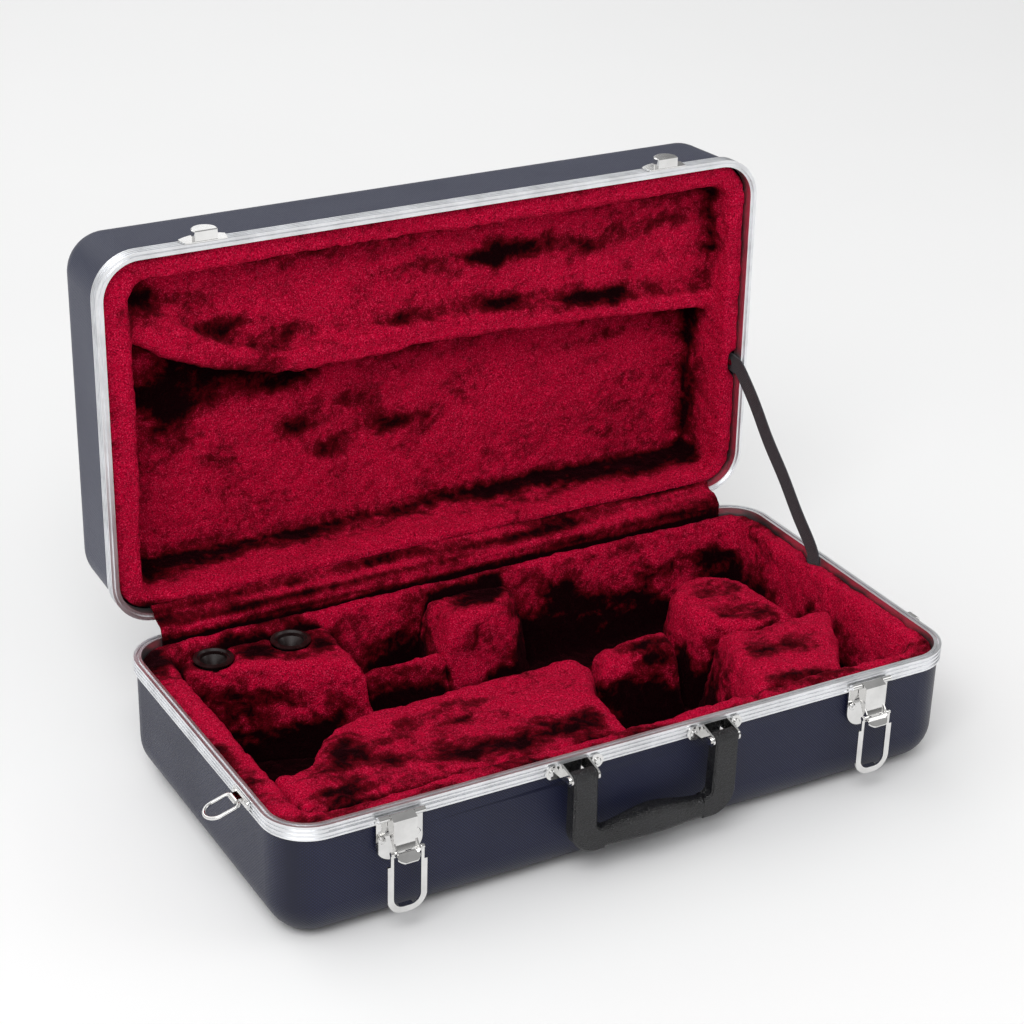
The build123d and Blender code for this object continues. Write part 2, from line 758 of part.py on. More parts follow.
def bail_outline():
    """Front view of the bail: two stepped legs and a rounded foot."""
    half = BAIL_WIDTH / 2
    inner = half - BAIL_STRIP
    strip_top = -BAIL_SHOULDER
    loop = Pos(0, (strip_top - BAIL_LENGTH) / 2) * Rectangle(
        BAIL_WIDTH, BAIL_LENGTH + strip_top
    )
    loop = fillet(loop.vertices().sort_by(Axis.Y)[:2], BAIL_ROUND)
    window_low = -BAIL_LENGTH + BAIL_STRIP
    window = Pos(0, window_low / 2) * Rectangle(2 * inner, -window_low)
    window = fillet(window.vertices().sort_by(Axis.Y)[:2], BAIL_ROUND - BAIL_STRIP)
    legs = Sketch()
    for side in (-1, 1):
        x = side * (inner + BAIL_LEG / 2)
        legs += Pos(x, strip_top / 2) * Rectangle(BAIL_LEG, -strip_top + 1)
    return loop - window + legs


def latch_bail():
    """The loop that reaches up over the catch, hung from the lever's ears."""
    body = elevation(bail_outline(), BAIL_THICKNESS, -BAIL_THICKNESS / 2)
    inner = BAIL_WIDTH / 2 - BAIL_STRIP
    lip_width = inner
    lip = Pos(0, BAIL_LIP / 2, -BAIL_LENGTH + BAIL_STRIP - LEVER_SHEET / 2) * Box(
        lip_width, BAIL_LIP, LEVER_SHEET
    )
    body += lip
    stub_start = LEVER_WIDTH / 2 - LEVER_SHEET
    stub = inner + BAIL_LEG - stub_start
    for side in (-1, 1):
        pin = knuckle(BAIL_PIN_RADIUS, stub)
        body += Pos(side * (stub_start + stub / 2), 0, 0) * pin
        eye = knuckle(BAIL_PIN_RADIUS * 1.35, BAIL_LEG)
        body += Pos(side * (inner + BAIL_LEG / 2), 0, 0) * eye
    return Pos(0, -BAIL_PIVOT_OUT, -LATCH_HINGE_DROP - BAIL_PIVOT_DROP) * body


def latch_catch():
    """A D-shaped post on an arched plate, in the closed lid's frame."""
    low = SEAM_GAP + CLEAR
    half = CATCH_PLATE_WIDTH / 2
    side_top = RIM_HEIGHT
    arch_top = RIM_HEIGHT + 6
    plate = make_face(
        Wire(
            [
                Line((-half + 2, low), (half - 2, low)),
                Line((half - 2, low), (half, side_top)),
                ThreePointArc((half, side_top), (0, arch_top), (-half, side_top)),
                Line((-half, side_top), (-half + 2, low)),
            ]
        )
    )
    body = elevation(plate, CATCH_PLATE_SHEET)
    post = Pos(0, CATCH_RISE) * Circle(CATCH_RADIUS)
    cut_height = CATCH_RADIUS - CATCH_FLAT
    cut = Pos(0, CATCH_RISE - CATCH_FLAT - cut_height / 2) * Rectangle(
        4 * CATCH_RADIUS, cut_height
    )
    boss = elevation(post - cut, CATCH_HEIGHT)
    boss = chamfer(boss.faces().sort_by(Axis.Y)[0].edges(), LEVER_SHEET * 0.7)
    return body + boss


def front_pair(piece):
    """The two copies of a latch part, keyed by the side they stand on."""
    return {
        name: front_place(side * LATCH_X, 0, 0) * piece
        for name, side in (("left", -1), ("right", 1))
    }


# Carrying handle, in the same frame at the middle of the front wall
def bracket_places():
    return [-HANDLE_HALF_SPAN, HANDLE_HALF_SPAN]


def handle_bracket():
    """A riveted strip with two ears that hold the handle's pin."""
    middle = -HANDLE_PIVOT_DROP + 1.5
    strip = Pos(0, middle) * SlotOverall(BRACKET_LENGTH, BRACKET_HEIGHT)
    body = elevation(strip, BRACKET_SHEET)
    ear_place = ARM_WIDTH / 2 + CLEAR + BRACKET_SHEET / 2
    pivot = (HANDLE_PIVOT_OUT, -HANDLE_PIVOT_DROP)
    half = BRACKET_HEIGHT / 2
    outline = Polygon(
        (0, middle + half),
        (pivot[0], pivot[1] + EAR_RADIUS),
        (pivot[0], pivot[1] - EAR_RADIUS),
        (0, middle - half),
        align=None,
    )
    outline += Pos(*pivot) * Circle(EAR_RADIUS)
    for side in (-1, 1):
        body += Pos(side * ear_place, 0, 0) * section(outline, BRACKET_SHEET)
    bore = knuckle(HANDLE_PIN_RADIUS + RUNNING / 2, ARM_WIDTH * 2)
    body -= Pos(0, -pivot[0], pivot[1]) * bore
    ear_side = ear_place + BRACKET_SHEET / 2
    rivet_side = RIVET_SPACING / 2 - RIVET_HEAD_RADIUS - CLEAR
    top = middle + half
    tip = ((ear_side + rivet_side) / 2, top - NOTCH_DEPTH)
    notch = elevation(
        Polygon((ear_side, top), (rivet_side, top), tip, align=None), BRACKET_SHEET
    )
    hole = Pos(RIVET_SPACING / 2, 0, middle) * rivet_hole(2 * BRACKET_SHEET)
    for cut in (notch, hole):
        body -= cut
        body -= cut.mirror(Plane.YZ)
    return body


def bracket_rivet_places():
    drop = HANDLE_PIVOT_DROP - 1.5
    return [
        (x + side * RIVET_SPACING / 2, drop)
        for x in bracket_places()
        for side in (-1, 1)
    ]


def handle_anchor_holes():
    """Holes in the shell's edge behind the handle's rivets."""
    return [
        front_place(x, 0, drop) * rivet_hole(RIM_WIDTH)
        for x, drop in bracket_rivet_places()
    ]


def handle_rivets():
    return Compound(
        [
            front_place(x, BRACKET_SHEET, drop) * rivet(BRACKET_SHEET + RIM_WIDTH - 1)
            for x, drop in bracket_rivet_places()
        ]
    )


def handle_pin():
    span = ARM_WIDTH + 2 * (CLEAR + BRACKET_SHEET)
    pin = knuckle(HANDLE_PIN_RADIUS, span)
    for side in (-1, 1):
        head = knuckle(HANDLE_PIN_RADIUS * 1.6, 1.0)
        pin += Pos(side * (span / 2 + 0.5), 0, 0) * head
    return Pos(0, -HANDLE_PIVOT_OUT, -HANDLE_PIVOT_DROP) * pin


def handle_arm(side):
    """A moulded arm: pin eye above, rounded corner and foot below."""
    outer = HANDLE_HALF_SPAN + ARM_WIDTH / 2
    inner = HANDLE_HALF_SPAN - ARM_WIDTH / 2
    foot = GRIP_LENGTH / 2
    low = -HANDLE_DROP
    foot_top = low + GRIP_HEIGHT
    outline = Polygon(
        (outer, 0), (outer, low), (foot, low), (foot, foot_top), (inner - 1, foot_top),
        (inner, -2 * EAR_RADIUS), (inner, 0), align=None,
    )
    corners = outline.vertices()
    outer_corner = corners.sort_by_distance((outer, low))[0]
    outline = fillet(outer_corner, ARM_OUTER_ROUND)
    inner_corner = outline.vertices().sort_by_distance((inner - 1, foot_top))[0]
    outline = fillet(inner_corner, ARM_OUTER_ROUND / 4)
    body = elevation(outline, ARM_THICKNESS, -ARM_THICKNESS / 2)
    body += Pos(HANDLE_HALF_SPAN, 0, 0) * knuckle(ARM_THICKNESS / 2, ARM_WIDTH)
    front = body.faces().sort_by(Axis.Y)[0]
    back = body.faces().sort_by(Axis.Y)[-1]
    long_edges = (front.edges() + back.edges()).filter_by(
        lambda edge: abs(edge.center().X - foot) > 0.5 and edge.center().Z < -1
    )
    body = chamfer(long_edges, ARM_THICKNESS / 8)
    bore = knuckle(HANDLE_PIN_RADIUS + RUNNING, 2 * ARM_WIDTH)
    body -= Pos(HANDLE_HALF_SPAN, 0, 0) * bore
    if side < 0:
        body = body.mirror(Plane.YZ)
    return Pos(0, -HANDLE_PIVOT_OUT, -HANDLE_PIVOT_DROP) * body


def handle_grip():
    """The swelling grip between the two arms."""
    half = GRIP_LENGTH / 2 - SEAT / 2
    faces = []
    for i in range(-4, 5):
        swell = GRIP_SWELL * (0.5 + 0.5 * cos(radians(45 * i)))
        height = GRIP_HEIGHT + swell
        depth = ARM_THICKNESS + swell
        middle = -HANDLE_DROP + height / 2
        profile = Pos(0, middle) * RectangleRounded(depth, height, GRIP_ROUND)
        faces.append(Pos(i / 4 * half, 0, 0) * (SECTION * profile))
    body = loft(faces, ruled=False)
    return Pos(0, -HANDLE_PIVOT_OUT, -HANDLE_PIVOT_DROP) * body


# D-rings on the two ends, modelled for the left end and mirrored
def end_place(side, shape):
    """Put a piece drawn on the front wall's frame onto one end wall."""
    turned = shape.rotate(Axis.Z, -90)
    placed = Pos(-HALF_LENGTH, D_RING_Y, BASE_HEIGHT) * turned
    return placed if side < 0 else placed.mirror(Plane.YZ)


def d_ring_clip():
    """A bent clip: barrel round the ring's bar and a riveted foot."""
    middle = -D_RING_PIVOT_DROP
    radius = D_RING_WIRE + RUNNING + D_CLIP_SHEET
    foot = Pos(0, middle) * RectangleRounded(D_CLIP_FOOT, RIM_HEIGHT * 0.68, 2.0)
    body = elevation(foot, D_CLIP_SHEET)
    barrel = Pos(D_RING_PIVOT_OUT, middle) * Circle(radius)
    web = Pos(D_RING_PIVOT_OUT / 2, middle) * Rectangle(D_RING_PIVOT_OUT, 2 * radius)
    body += section(barrel + web, D_CLIP_LENGTH)
    bore = knuckle(D_RING_WIRE + RUNNING, 2 * D_CLIP_LENGTH)
    body -= Pos(0, -D_RING_PIVOT_OUT, middle) * bore
    for side in (-1, 1):
        hole = rivet_hole(2 * D_CLIP_SHEET)
        body -= Pos(side * D_CLIP_RIVET, 0, middle) * hole
    return body


def d_ring_rivets(side):
    pair = [
        Pos(way * D_CLIP_RIVET, -D_CLIP_SHEET, -D_RING_PIVOT_DROP)
        * rivet(D_CLIP_SHEET + RIM_WEB - RIDGE_DEPTH)
        for way in (-1, 1)
    ]
    return end_place(side, Compound(pair))


def d_ring(droop):
    """A wire ring: straight bar in the clip and a round bow outward."""
    half = D_RING_WIDTH / 2
    bend = 2.5 * D_RING_WIRE
    straight = D_RING_REACH - half
    path = Wire(
        [
            Line((-half + bend, 0), (half - bend, 0)),
            ThreePointArc(
                (half - bend, 0),
                (half - bend + bend * sin(radians(45)), bend - bend * cos(radians(45))),
                (half, bend),
            ),
            Line((half, bend), (half, straight)),
            ThreePointArc((half, straight), (0, straight + half), (-half, straight)),
            Line((-half, straight), (-half, bend)),
            ThreePointArc(
                (-half, bend),
                (-half + bend - bend * sin(radians(45)), bend - bend * cos(radians(45))),
                (-half + bend, 0),
            ),
        ]
    )
    start = Plane(origin=path @ 0, z_dir=path % 0)
    wire = sweep(start * Circle(D_RING_WIRE), path=path)
    hung = wire.rotate(Axis.X, 180 + droop)
    return Pos(0, -D_RING_PIVOT_OUT, -D_RING_PIVOT_DROP) * hung


# Rear hinges, in the frame at the seam's outer edge with +Y outward
def hinge_places():
    return [-HINGE_X, HINGE_X]


def hinge_leaf(up):
    """One leaf: riveted plate, arm out to the pin line, and its knuckles."""
    arm_level = HINGE_KNUCKLE_RADIUS - HINGE_SHEET / 2
    plate_top = HINGE_KNUCKLE_RADIUS - HINGE_SHEET
    plate = Pos(HINGE_SHEET / 2, -plate_top - HINGE_LEAF_HEIGHT / 2) * Rectangle(
        HINGE_SHEET, HINGE_LEAF_HEIGHT
    )
    arm = Pos(HINGE_OUT / 2, -arm_level) * Rectangle(HINGE_OUT, HINGE_SHEET)
    curl = Pos(HINGE_OUT, 0) * Circle(HINGE_KNUCKLE_RADIUS)
    strip = section(plate, HINGE_LENGTH)
    third = HINGE_LENGTH / 3
    if up:
        strip += section(arm + curl, third - 2 * CLEAR)
    else:
        for side in (-1, 1):
            strip += Pos(side * third, 0, 0) * section(arm + curl, third)
    bore = knuckle(HINGE_PIN_RADIUS + RUNNING, 2 * HINGE_LENGTH)
    strip -= Pos(0, -HINGE_OUT, 0) * bore
    for side in (-1, 1):
        hole = rivet_hole(2 * HINGE_SHEET)
        strip -= Pos(side * third * 1.1, 0, -hinge_rivet_drop()) * hole
    if up:
        strip = strip.mirror(Plane.XY)
    return strip


def hinge_rivet_drop():
    return HINGE_KNUCKLE_RADIUS - HINGE_SHEET + HINGE_LEAF_HEIGHT / 2


def rear_place(x, shape):
    """Put a piece drawn on the front wall's frame onto the rear wall."""
    return Pos(x, HALF_DEPTH, BASE_HEIGHT) * shape.rotate(Axis.Z, 180)


def hinge_leaves(up):
    leaves = [rear_place(x, hinge_leaf(up)) for x in hinge_places()]
    return Compound(leaves)


def hinge_pins():
    pin = knuckle(HINGE_PIN_RADIUS, HINGE_LENGTH)
    return Compound(
        [rear_place(x, Pos(0, -HINGE_OUT, 0) * pin) for x in hinge_places()]
    )


def hinge_rivets(up):
    drop = hinge_rivet_drop()
    level = drop if up else -drop
    shank = HINGE_SHEET + RIM_WEB - RIDGE_DEPTH
    offset_x = HINGE_LENGTH / 3 * 1.1
    parts = [
        rear_place(x + side * offset_x, Pos(0, -HINGE_SHEET, level) * rivet(shank))
        for x in hinge_places()
        for side in (-1, 1)
    ]
    return Compound(parts)


def rim_holes(up):
    """Rivet holes in a rim, for the rear hinges and, below, all hardware."""
    drop = hinge_rivet_drop()
    level = drop if up else -drop
    depth = 2 * (RIM_WEB + 0.2)
    offset_x = HINGE_LENGTH / 3 * 1.1
    holes = [
        rear_place(x + side * offset_x, Pos(0, 0, level) * rivet_hole(depth / 2))
        for x in hinge_places()
        for side in (-1, 1)
    ]
    if up:
        return Part() + holes
    for side in (-1, 1):
        for way in (-1, 1):
            hole = Pos(way * D_CLIP_RIVET, 0, -D_RING_PIVOT_DROP) * rivet_hole(RIM_WEB)
            holes.append(end_place(side, hole))
    holes += [
        front_place(x, 0, drop) * rivet_hole(RIM_WIDTH) for x, drop in bracket_rivet_places()
    ]
    return Part() + holes


# Stay strap that stops the lid, with a rivet at each end
STRAP_X = HALF_LENGTH - RIM_WIDTH - STRAP_PLAY - STRAP_THICKNESS / 2
STRAP_Y = HINGE_Y - STRAP_ANCHOR_REACH
STAY_RIVET_LEVEL = STRAP_TAIL - STRAP_WIDTH / 2 + 1


def stay_hole(way):
    hole = Cylinder(RIVET_SHANK_RADIUS + RUNNING, 40).rotate(Axis.Y, 90)
    return Pos(HALF_LENGTH, STRAP_Y, BASE_HEIGHT + way * STAY_RIVET_LEVEL) * hole


def stay_rivet(way):
    """A rivet through one end of the strap into the shell's wall."""
    shank = HALF_LENGTH - SHELL_INSET - (STRAP_X - STRAP_THICKNESS / 2) - WALL / 4
    turned = rivet(shank).rotate(Axis.Z, -90)
    level = BASE_HEIGHT + way * STAY_RIVET_LEVEL
    place = Pos(STRAP_X - STRAP_THICKNESS / 2, STRAP_Y, level)
    return place * turned


def stay_strap():
    """Webbing from the base's wall to the open lid's wall."""
    lean = radians(OPEN_ANGLE)
    start = (STRAP_Y, BASE_HEIGHT)
    finish = (
        HINGE_Y - STRAP_ANCHOR_REACH * cos(lean),
        BASE_HEIGHT + STRAP_ANCHOR_REACH * sin(lean),
    )
    tail = (start[0], start[1] - STRAP_TAIL)
    lid_tail = (
        finish[0] + STRAP_TAIL * sin(lean),
        finish[1] + STRAP_TAIL * cos(lean),
    )
    route = Polyline(tail, start, finish, lid_tail)
    webbing = Plane.YZ.offset(STRAP_X) * trace(route, STRAP_WIDTH)
    hole = Cylinder(RIVET_SHANK_RADIUS + RUNNING, 40).rotate(Axis.Y, 90)
    base_hole = Pos(STRAP_X, STRAP_Y, BASE_HEIGHT - STAY_RIVET_LEVEL) * hole
    lid_hole = open_lid(Pos(STRAP_X, STRAP_Y, BASE_HEIGHT + STAY_RIVET_LEVEL) * hole)
    band = extrude(webbing, STRAP_THICKNESS / 2, both=True)
    return band - base_hole - lid_hole


def build():
    save("base_shell", base_shell())
    save("lid_shell", lid_shell())
    save("base_rim", base_rim() - rim_holes(False))
    save("lid_rim", lid_rim() - open_lid(rim_holes(True)))

    for name, pad in base_pads().items():
        save(name, pad)
    save("mouthpiece_block", mouthpiece_block())
    save("bell_side_block", bell_side_block())
    save("rear_divider", rear_divider())
    save("rear_centre_block", rear_centre_block())
    save("valve_rest", valve_rest())
    save("valve_side_block", valve_side_block())
    save("rear_side_block", rear_side_block())
    for side, x in zip(("left", "right"), cup_places()):
        place = Pos(x, CUP_Y, BLOCK_TOP)
        save(f"mouthpiece_cup_{side}", place * mouthpiece_cup())
    save("lid_lining", lid_lining())
    save("lid_upper_pad", lid_upper_pad())
    save("lid_ridge", lid_ridge())
    save("hinge_cover", hinge_cover())

    for piece, name in (
        (latch_plate(), "latch_plate"),
        (latch_pin(), "latch_pin"),
        (latch_lever(), "latch_lever"),
        (latch_bail(), "latch_bail"),
    ):
        for side, placed in front_pair(piece).items():
            save(f"{name}_{side}", placed)
    for side, placed in front_pair(latch_catch()).items():
        save(f"latch_catch_{side}", open_lid(placed))
    save("latch_rivets", latch_rivets())

    brackets = [front_place(x, 0, 0) * handle_bracket() for x in bracket_places()]
    save("handle_brackets", Compound(brackets))
    save("handle_rivets", handle_rivets())
    save("handle_pins", Compound([front_place(x, 0, 0) * handle_pin() for x in bracket_places()]))
    save("handle_arm_left", front_place(0, 0, 0) * handle_arm(-1))
    save("handle_arm_right", front_place(0, 0, 0) * handle_arm(1))
    save("handle_grip", front_place(0, 0, 0) * handle_grip())

    ends = (("left", -1, D_RING_DROOP_LEFT), ("right", 1, D_RING_DROOP_RIGHT))
    for name, side, droop in ends:
        save(f"d_ring_clip_{name}", end_place(side, d_ring_clip()))
        save(f"d_ring_rivets_{name}", d_ring_rivets(side))
        save(f"d_ring_{name}", end_place(side, d_ring(droop)))

    save("hinge_base_leaves", hinge_leaves(False))
    save("hinge_lid_leaves", open_lid(hinge_leaves(True)))
    save("hinge_pins", hinge_pins())
    save("hinge_base_rivets", hinge_rivets(False))
    save("hinge_lid_rivets", open_lid(hinge_rivets(True)))

    save("stay_rivet_base", stay_rivet(-1))
    save("stay_rivet_lid", open_lid(stay_rivet(1)))
    save("lid_stay_strap", stay_strap())


build()
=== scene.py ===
import bpy
import json
import math
import numpy as np
from mathutils import Matrix, Vector
from mathutils.bvhtree import BVHTree


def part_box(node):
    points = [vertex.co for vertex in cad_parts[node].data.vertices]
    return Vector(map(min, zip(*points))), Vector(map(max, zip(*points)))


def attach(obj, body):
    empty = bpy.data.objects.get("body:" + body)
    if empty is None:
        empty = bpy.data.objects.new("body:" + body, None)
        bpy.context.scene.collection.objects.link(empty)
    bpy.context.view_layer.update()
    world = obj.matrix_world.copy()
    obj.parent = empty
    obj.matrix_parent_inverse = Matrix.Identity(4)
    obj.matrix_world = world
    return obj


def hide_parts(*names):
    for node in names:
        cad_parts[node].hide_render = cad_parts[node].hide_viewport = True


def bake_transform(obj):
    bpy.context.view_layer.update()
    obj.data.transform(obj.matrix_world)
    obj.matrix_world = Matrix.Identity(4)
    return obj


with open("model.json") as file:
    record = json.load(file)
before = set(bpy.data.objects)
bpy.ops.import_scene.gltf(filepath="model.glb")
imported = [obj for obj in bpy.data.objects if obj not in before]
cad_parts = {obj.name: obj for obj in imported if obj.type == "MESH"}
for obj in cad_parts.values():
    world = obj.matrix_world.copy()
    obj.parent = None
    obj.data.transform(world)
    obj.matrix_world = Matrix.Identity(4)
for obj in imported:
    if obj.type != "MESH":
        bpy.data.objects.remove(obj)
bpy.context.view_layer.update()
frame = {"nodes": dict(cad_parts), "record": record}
nodes = frame["nodes"]
scene = bpy.context.scene

# Sizes that the scene shares with the part, in metres
BASE_HEIGHT = 0.094
HINGE = Vector((0.0, 0.1479, 0.094))
OPEN_ANGLE = math.radians(91.0)
LEAN = Vector((0, -math.cos(OPEN_ANGLE), math.sin(OPEN_ANGLE)))
OUT = Vector((0, math.sin(OPEN_ANGLE), math.cos(OPEN_ANGLE)))
STRAP_WIDTH = 0.015
STRAP_THICKNESS = 0.0013


# Materials
def new_material(name):
    material = bpy.data.materials.new(name)
    material.use_nodes = True
    tree = material.node_tree
    shader = tree.nodes["Principled BSDF"]
    return material, tree, shader


def node(tree, kind, **settings):
    made = tree.nodes.new(kind)
    for key, value in settings.items():
        if key in made.inputs:
            made.inputs[key].default_value = value
        else:
            setattr(made, key, value)
    return made


def link(tree, source, target):
    tree.links.new(source, target)


def math_node(tree, operation, first, second=None):
    made = node(tree, "ShaderNodeMath", operation=operation)
    for socket, value in zip(made.inputs, (first, second)):
        if value is None:
            continue
        if isinstance(value, (int, float)):
            socket.default_value = value
        else:
            link(tree, value, socket)
    return made.outputs[0]


def mix_colour(tree, factor, first, second):
    made = node(tree, "ShaderNodeMix", data_type="RGBA")
    if isinstance(factor, (int, float)):
        made.inputs[0].default_value = factor
    else:
        link(tree, factor, made.inputs[0])
    for socket, value in zip((made.inputs[6], made.inputs[7]), (first, second)):
        if isinstance(value, tuple):
            socket.default_value = value
        else:
            link(tree, value, socket)
    return made.outputs[2]


def add_scaled(tree, base, source, gain, shift):
    """base + gain * source + shift"""
    scaled = math_node(tree, "MULTIPLY_ADD", source, gain)
    scaled.node.inputs[2].default_value = shift
    return math_node(tree, "ADD", base, scaled)


def ramp(tree, source, low, high):
    """A value that rises from 0 at low to 1 at high."""
    made = node(tree, "ShaderNodeMapRange", clamp=True)
    made.interpolation_type = "SMOOTHSTEP"
    link(tree, source, made.inputs[0])
    made.inputs[1].default_value = low
    made.inputs[2].default_value = high
    return made.outputs[0]


def noise_node(tree, vector, scale, detail=3.0, roughness=0.5, distortion=0.0):
    made = node(tree, "ShaderNodeTexNoise")
    made.inputs["Scale"].default_value = scale
    made.inputs["Detail"].default_value = detail
    made.inputs["Roughness"].default_value = roughness
    made.inputs["Distortion"].default_value = distortion
    link(tree, vector, made.inputs["Vector"])
    return made.outputs["Fac"]


def object_coordinates(tree, scale=(1, 1, 1), turn=(0, 0, 0)):
    coordinates = node(tree, "ShaderNodeTexCoord")
    mapping = node(tree, "ShaderNodeMapping")
    mapping.inputs["Scale"].default_value = scale
    mapping.inputs["Rotation"].default_value = turn
    link(tree, coordinates.outputs["Object"], mapping.inputs["Vector"])
    return mapping.outputs["Vector"]


def bump(tree, shader, height, distance, strength=1.0, before=None):
    made = node(tree, "ShaderNodeBump")
    made.inputs["Strength"].default_value = strength
    made.inputs["Distance"].default_value = distance
    link(tree, height, made.inputs["Height"])
    if before is not None:
        link(tree, before, made.inputs["Normal"])
    link(tree, made.outputs[0], shader.inputs["Normal"])
    return made.outputs[0]


def plush_material(name, patch_gain, shade_bias, seed):
    """Crushed plush: patches where the pile lies over, single fibres, painted shade and highlights from the
    shade attribute, and painted glints.
    """
    material, tree, shader = new_material(name)
    plain = object_coordinates(tree)
    swirl = node(tree, "ShaderNodeTexNoise")
    swirl.inputs["Scale"].default_value = 60.0
    link(tree, plain, swirl.inputs["Vector"])
    bent = node(tree, "ShaderNodeVectorMath", operation="MULTIPLY_ADD")
    link(tree, swirl.outputs["Color"], bent.inputs[0])
    bent.inputs[1].default_value = (0.012, 0.012, 0.012)
    link(tree, plain, bent.inputs[2])
    brushed = node(tree, "ShaderNodeMapping")
    brushed.inputs["Scale"].default_value = (0.62, 1.1, 1.1)
    brushed.inputs["Location"].default_value = (seed, 0.0, 0.0)
    link(tree, bent.outputs[0], brushed.inputs["Vector"])
    patch = noise_node(tree, brushed.outputs[0], 30.0, 3.0, 0.6, 0.3)
    clump = noise_node(tree, bent.outputs[0], 170.0, 3.0, 0.62)
    fibre = noise_node(tree, bent.outputs[0], 820.0, 2.0, 0.6)
    glint_noise = noise_node(tree, plain, 1250.0, 1.0, 0.5)
    shade = node(tree, "ShaderNodeAttribute", attribute_name="shade").outputs["Fac"]
    # the shade attribute brings painted shade in hollows, creases, deep down and on walls, and painted
    # highlights along raised edges; patches, clumps and fibres add the pile's own tone
    darkness = add_scaled(tree, shade, patch, patch_gain, shade_bias - 0.5 * patch_gain)
    darkness = add_scaled(tree, darkness, clump, 1.1, -0.55)
    darkness = add_scaled(tree, darkness, fibre, 0.7, -0.35)
    body = mix_colour(tree, ramp(tree, darkness, -0.05, 0.5), PILE_BRIGHT, PILE_MIDDLE)
    body = mix_colour(tree, ramp(tree, darkness, 0.4, 1.0), body, PILE_DARK)
    # painted highlight: pale glints on the pile, only where the pile is not darkened
    glint = math_node(tree, "MULTIPLY", ramp(tree, glint_noise, 0.5, 0.72), ramp(tree, darkness, 0.75, 0.0))
    glint = math_node(tree, "MULTIPLY", glint, 0.8)
    glinted = mix_colour(tree, glint, body, PILE_GLINT)
    gap = ramp(tree, fibre, 0.32, 0.54)
    gapped = math_node(tree, "MULTIPLY_ADD", gap, 0.62)
    gapped.node.inputs[2].default_value = 0.38
    scaled = node(tree, "ShaderNodeVectorMath", operation="SCALE")
    link(tree, glinted, scaled.inputs[0])
    link(tree, gapped, scaled.inputs["Scale"])
    link(tree, scaled.outputs[0], shader.inputs["Base Color"])
    shader.inputs["Roughness"].default_value = 0.9
    shader.inputs["Specular IOR Level"].default_value = 0.03
    shader.inputs["Sheen Weight"].default_value = 0.04
    shader.inputs["Sheen Roughness"].default_value = 0.4
    shader.inputs["Sheen Tint"].default_value = (1.0, 0.1, 0.2, 1.0)
    first = bump(tree, shader, clump, 0.003, 0.6)
    bump(tree, shader, fibre, 0.0013, 0.9, first)
    return material


def diamond_height(tree, pitch):
    """Fine diamonds on whichever plane the surface faces most."""
    coordinates = node(tree, "ShaderNodeTexCoord")
    place = node(tree, "ShaderNodeSeparateXYZ")
    link(tree, coordinates.outputs["Object"], place.inputs[0])
    facing = node(tree, "ShaderNodeSeparateXYZ")
    link(tree, coordinates.outputs["Normal"], facing.inputs[0])
    rate = math.pi / pitch
    total = None
    for flat, pair in ((0, (1, 2)), (1, (0, 2)), (2, (0, 1))):
        share = None
        for operation in ("ADD", "SUBTRACT"):
            lean = math_node(tree, operation, place.outputs[pair[0]], place.outputs[pair[1]])
            wave = math_node(tree, "SINE", math_node(tree, "MULTIPLY", lean, rate))
            groove = math_node(tree, "ABSOLUTE", wave)
            share = groove if share is None else math_node(tree, "MULTIPLY", share, groove)
        weight = math_node(tree, "POWER", math_node(tree, "ABSOLUTE", facing.outputs[flat]), 4.0)
        share = math_node(tree, "MULTIPLY", share, weight)
        total = share if total is None else math_node(tree, "ADD", total, share)
    return total


def shell_material(name, groove_colour, face_colour, roughness):
    """Moulded plastic with a fine diamond grain, its grooves painted darker as shade."""
    material, tree, shader = new_material(name)
    height = diamond_height(tree, DIAMOND_PITCH)
    where = object_coordinates(tree)
    smudge = noise_node(tree, where, 14.0, 3.0, 0.5)
    grain = noise_node(tree, where, 1400.0, 2.0)
    # painted shade: the grooves between the diamonds take the darker groove colour
    raised = mix_colour(tree, ramp(tree, height, 0.1, 0.8), groove_colour, face_colour)
    muted = mix_colour(tree, 0.35, raised, groove_colour)
    link(tree, mix_colour(tree, ramp(tree, smudge, 0.3, 0.75), raised, muted), shader.inputs["Base Color"])
    rough = math_node(tree, "MULTIPLY_ADD", smudge, 0.14)
    rough.node.inputs[2].default_value = roughness
    link(tree, rough, shader.inputs["Roughness"])
    shader.inputs["Specular IOR Level"].default_value = 0.36
    first = bump(tree, shader, grain, 0.0001, 0.25)
    bump(tree, shader, height, 0.0004, 0.6, first)
    return material


def metal_material(name, colour, roughness, stretch, wear):
    """Polished or satin metal with fine lines and a little tarnish."""
    material, tree, shader = new_material(name)
    where = object_coordinates(tree, scale=stretch)
    lines = noise_node(tree, where, 900.0, 3.0, 0.6)
    tarnish = noise_node(tree, object_coordinates(tree), 45.0, 4.0, 0.6)
    dulled = tuple(0.82 * c for c in colour[:3]) + (1.0,)
    link(tree, mix_colour(tree, ramp(tree, tarnish, 0.35, 0.75), colour, dulled), shader.inputs["Base Color"])
    shader.inputs["Metallic"].default_value = 1.0
    rough = math_node(tree, "MULTIPLY_ADD", lines, wear)
    rough.node.inputs[2].default_value = roughness
    link(tree, rough, shader.inputs["Roughness"])
    bump(tree, shader, lines, 0.00003, 0.25)
    return material


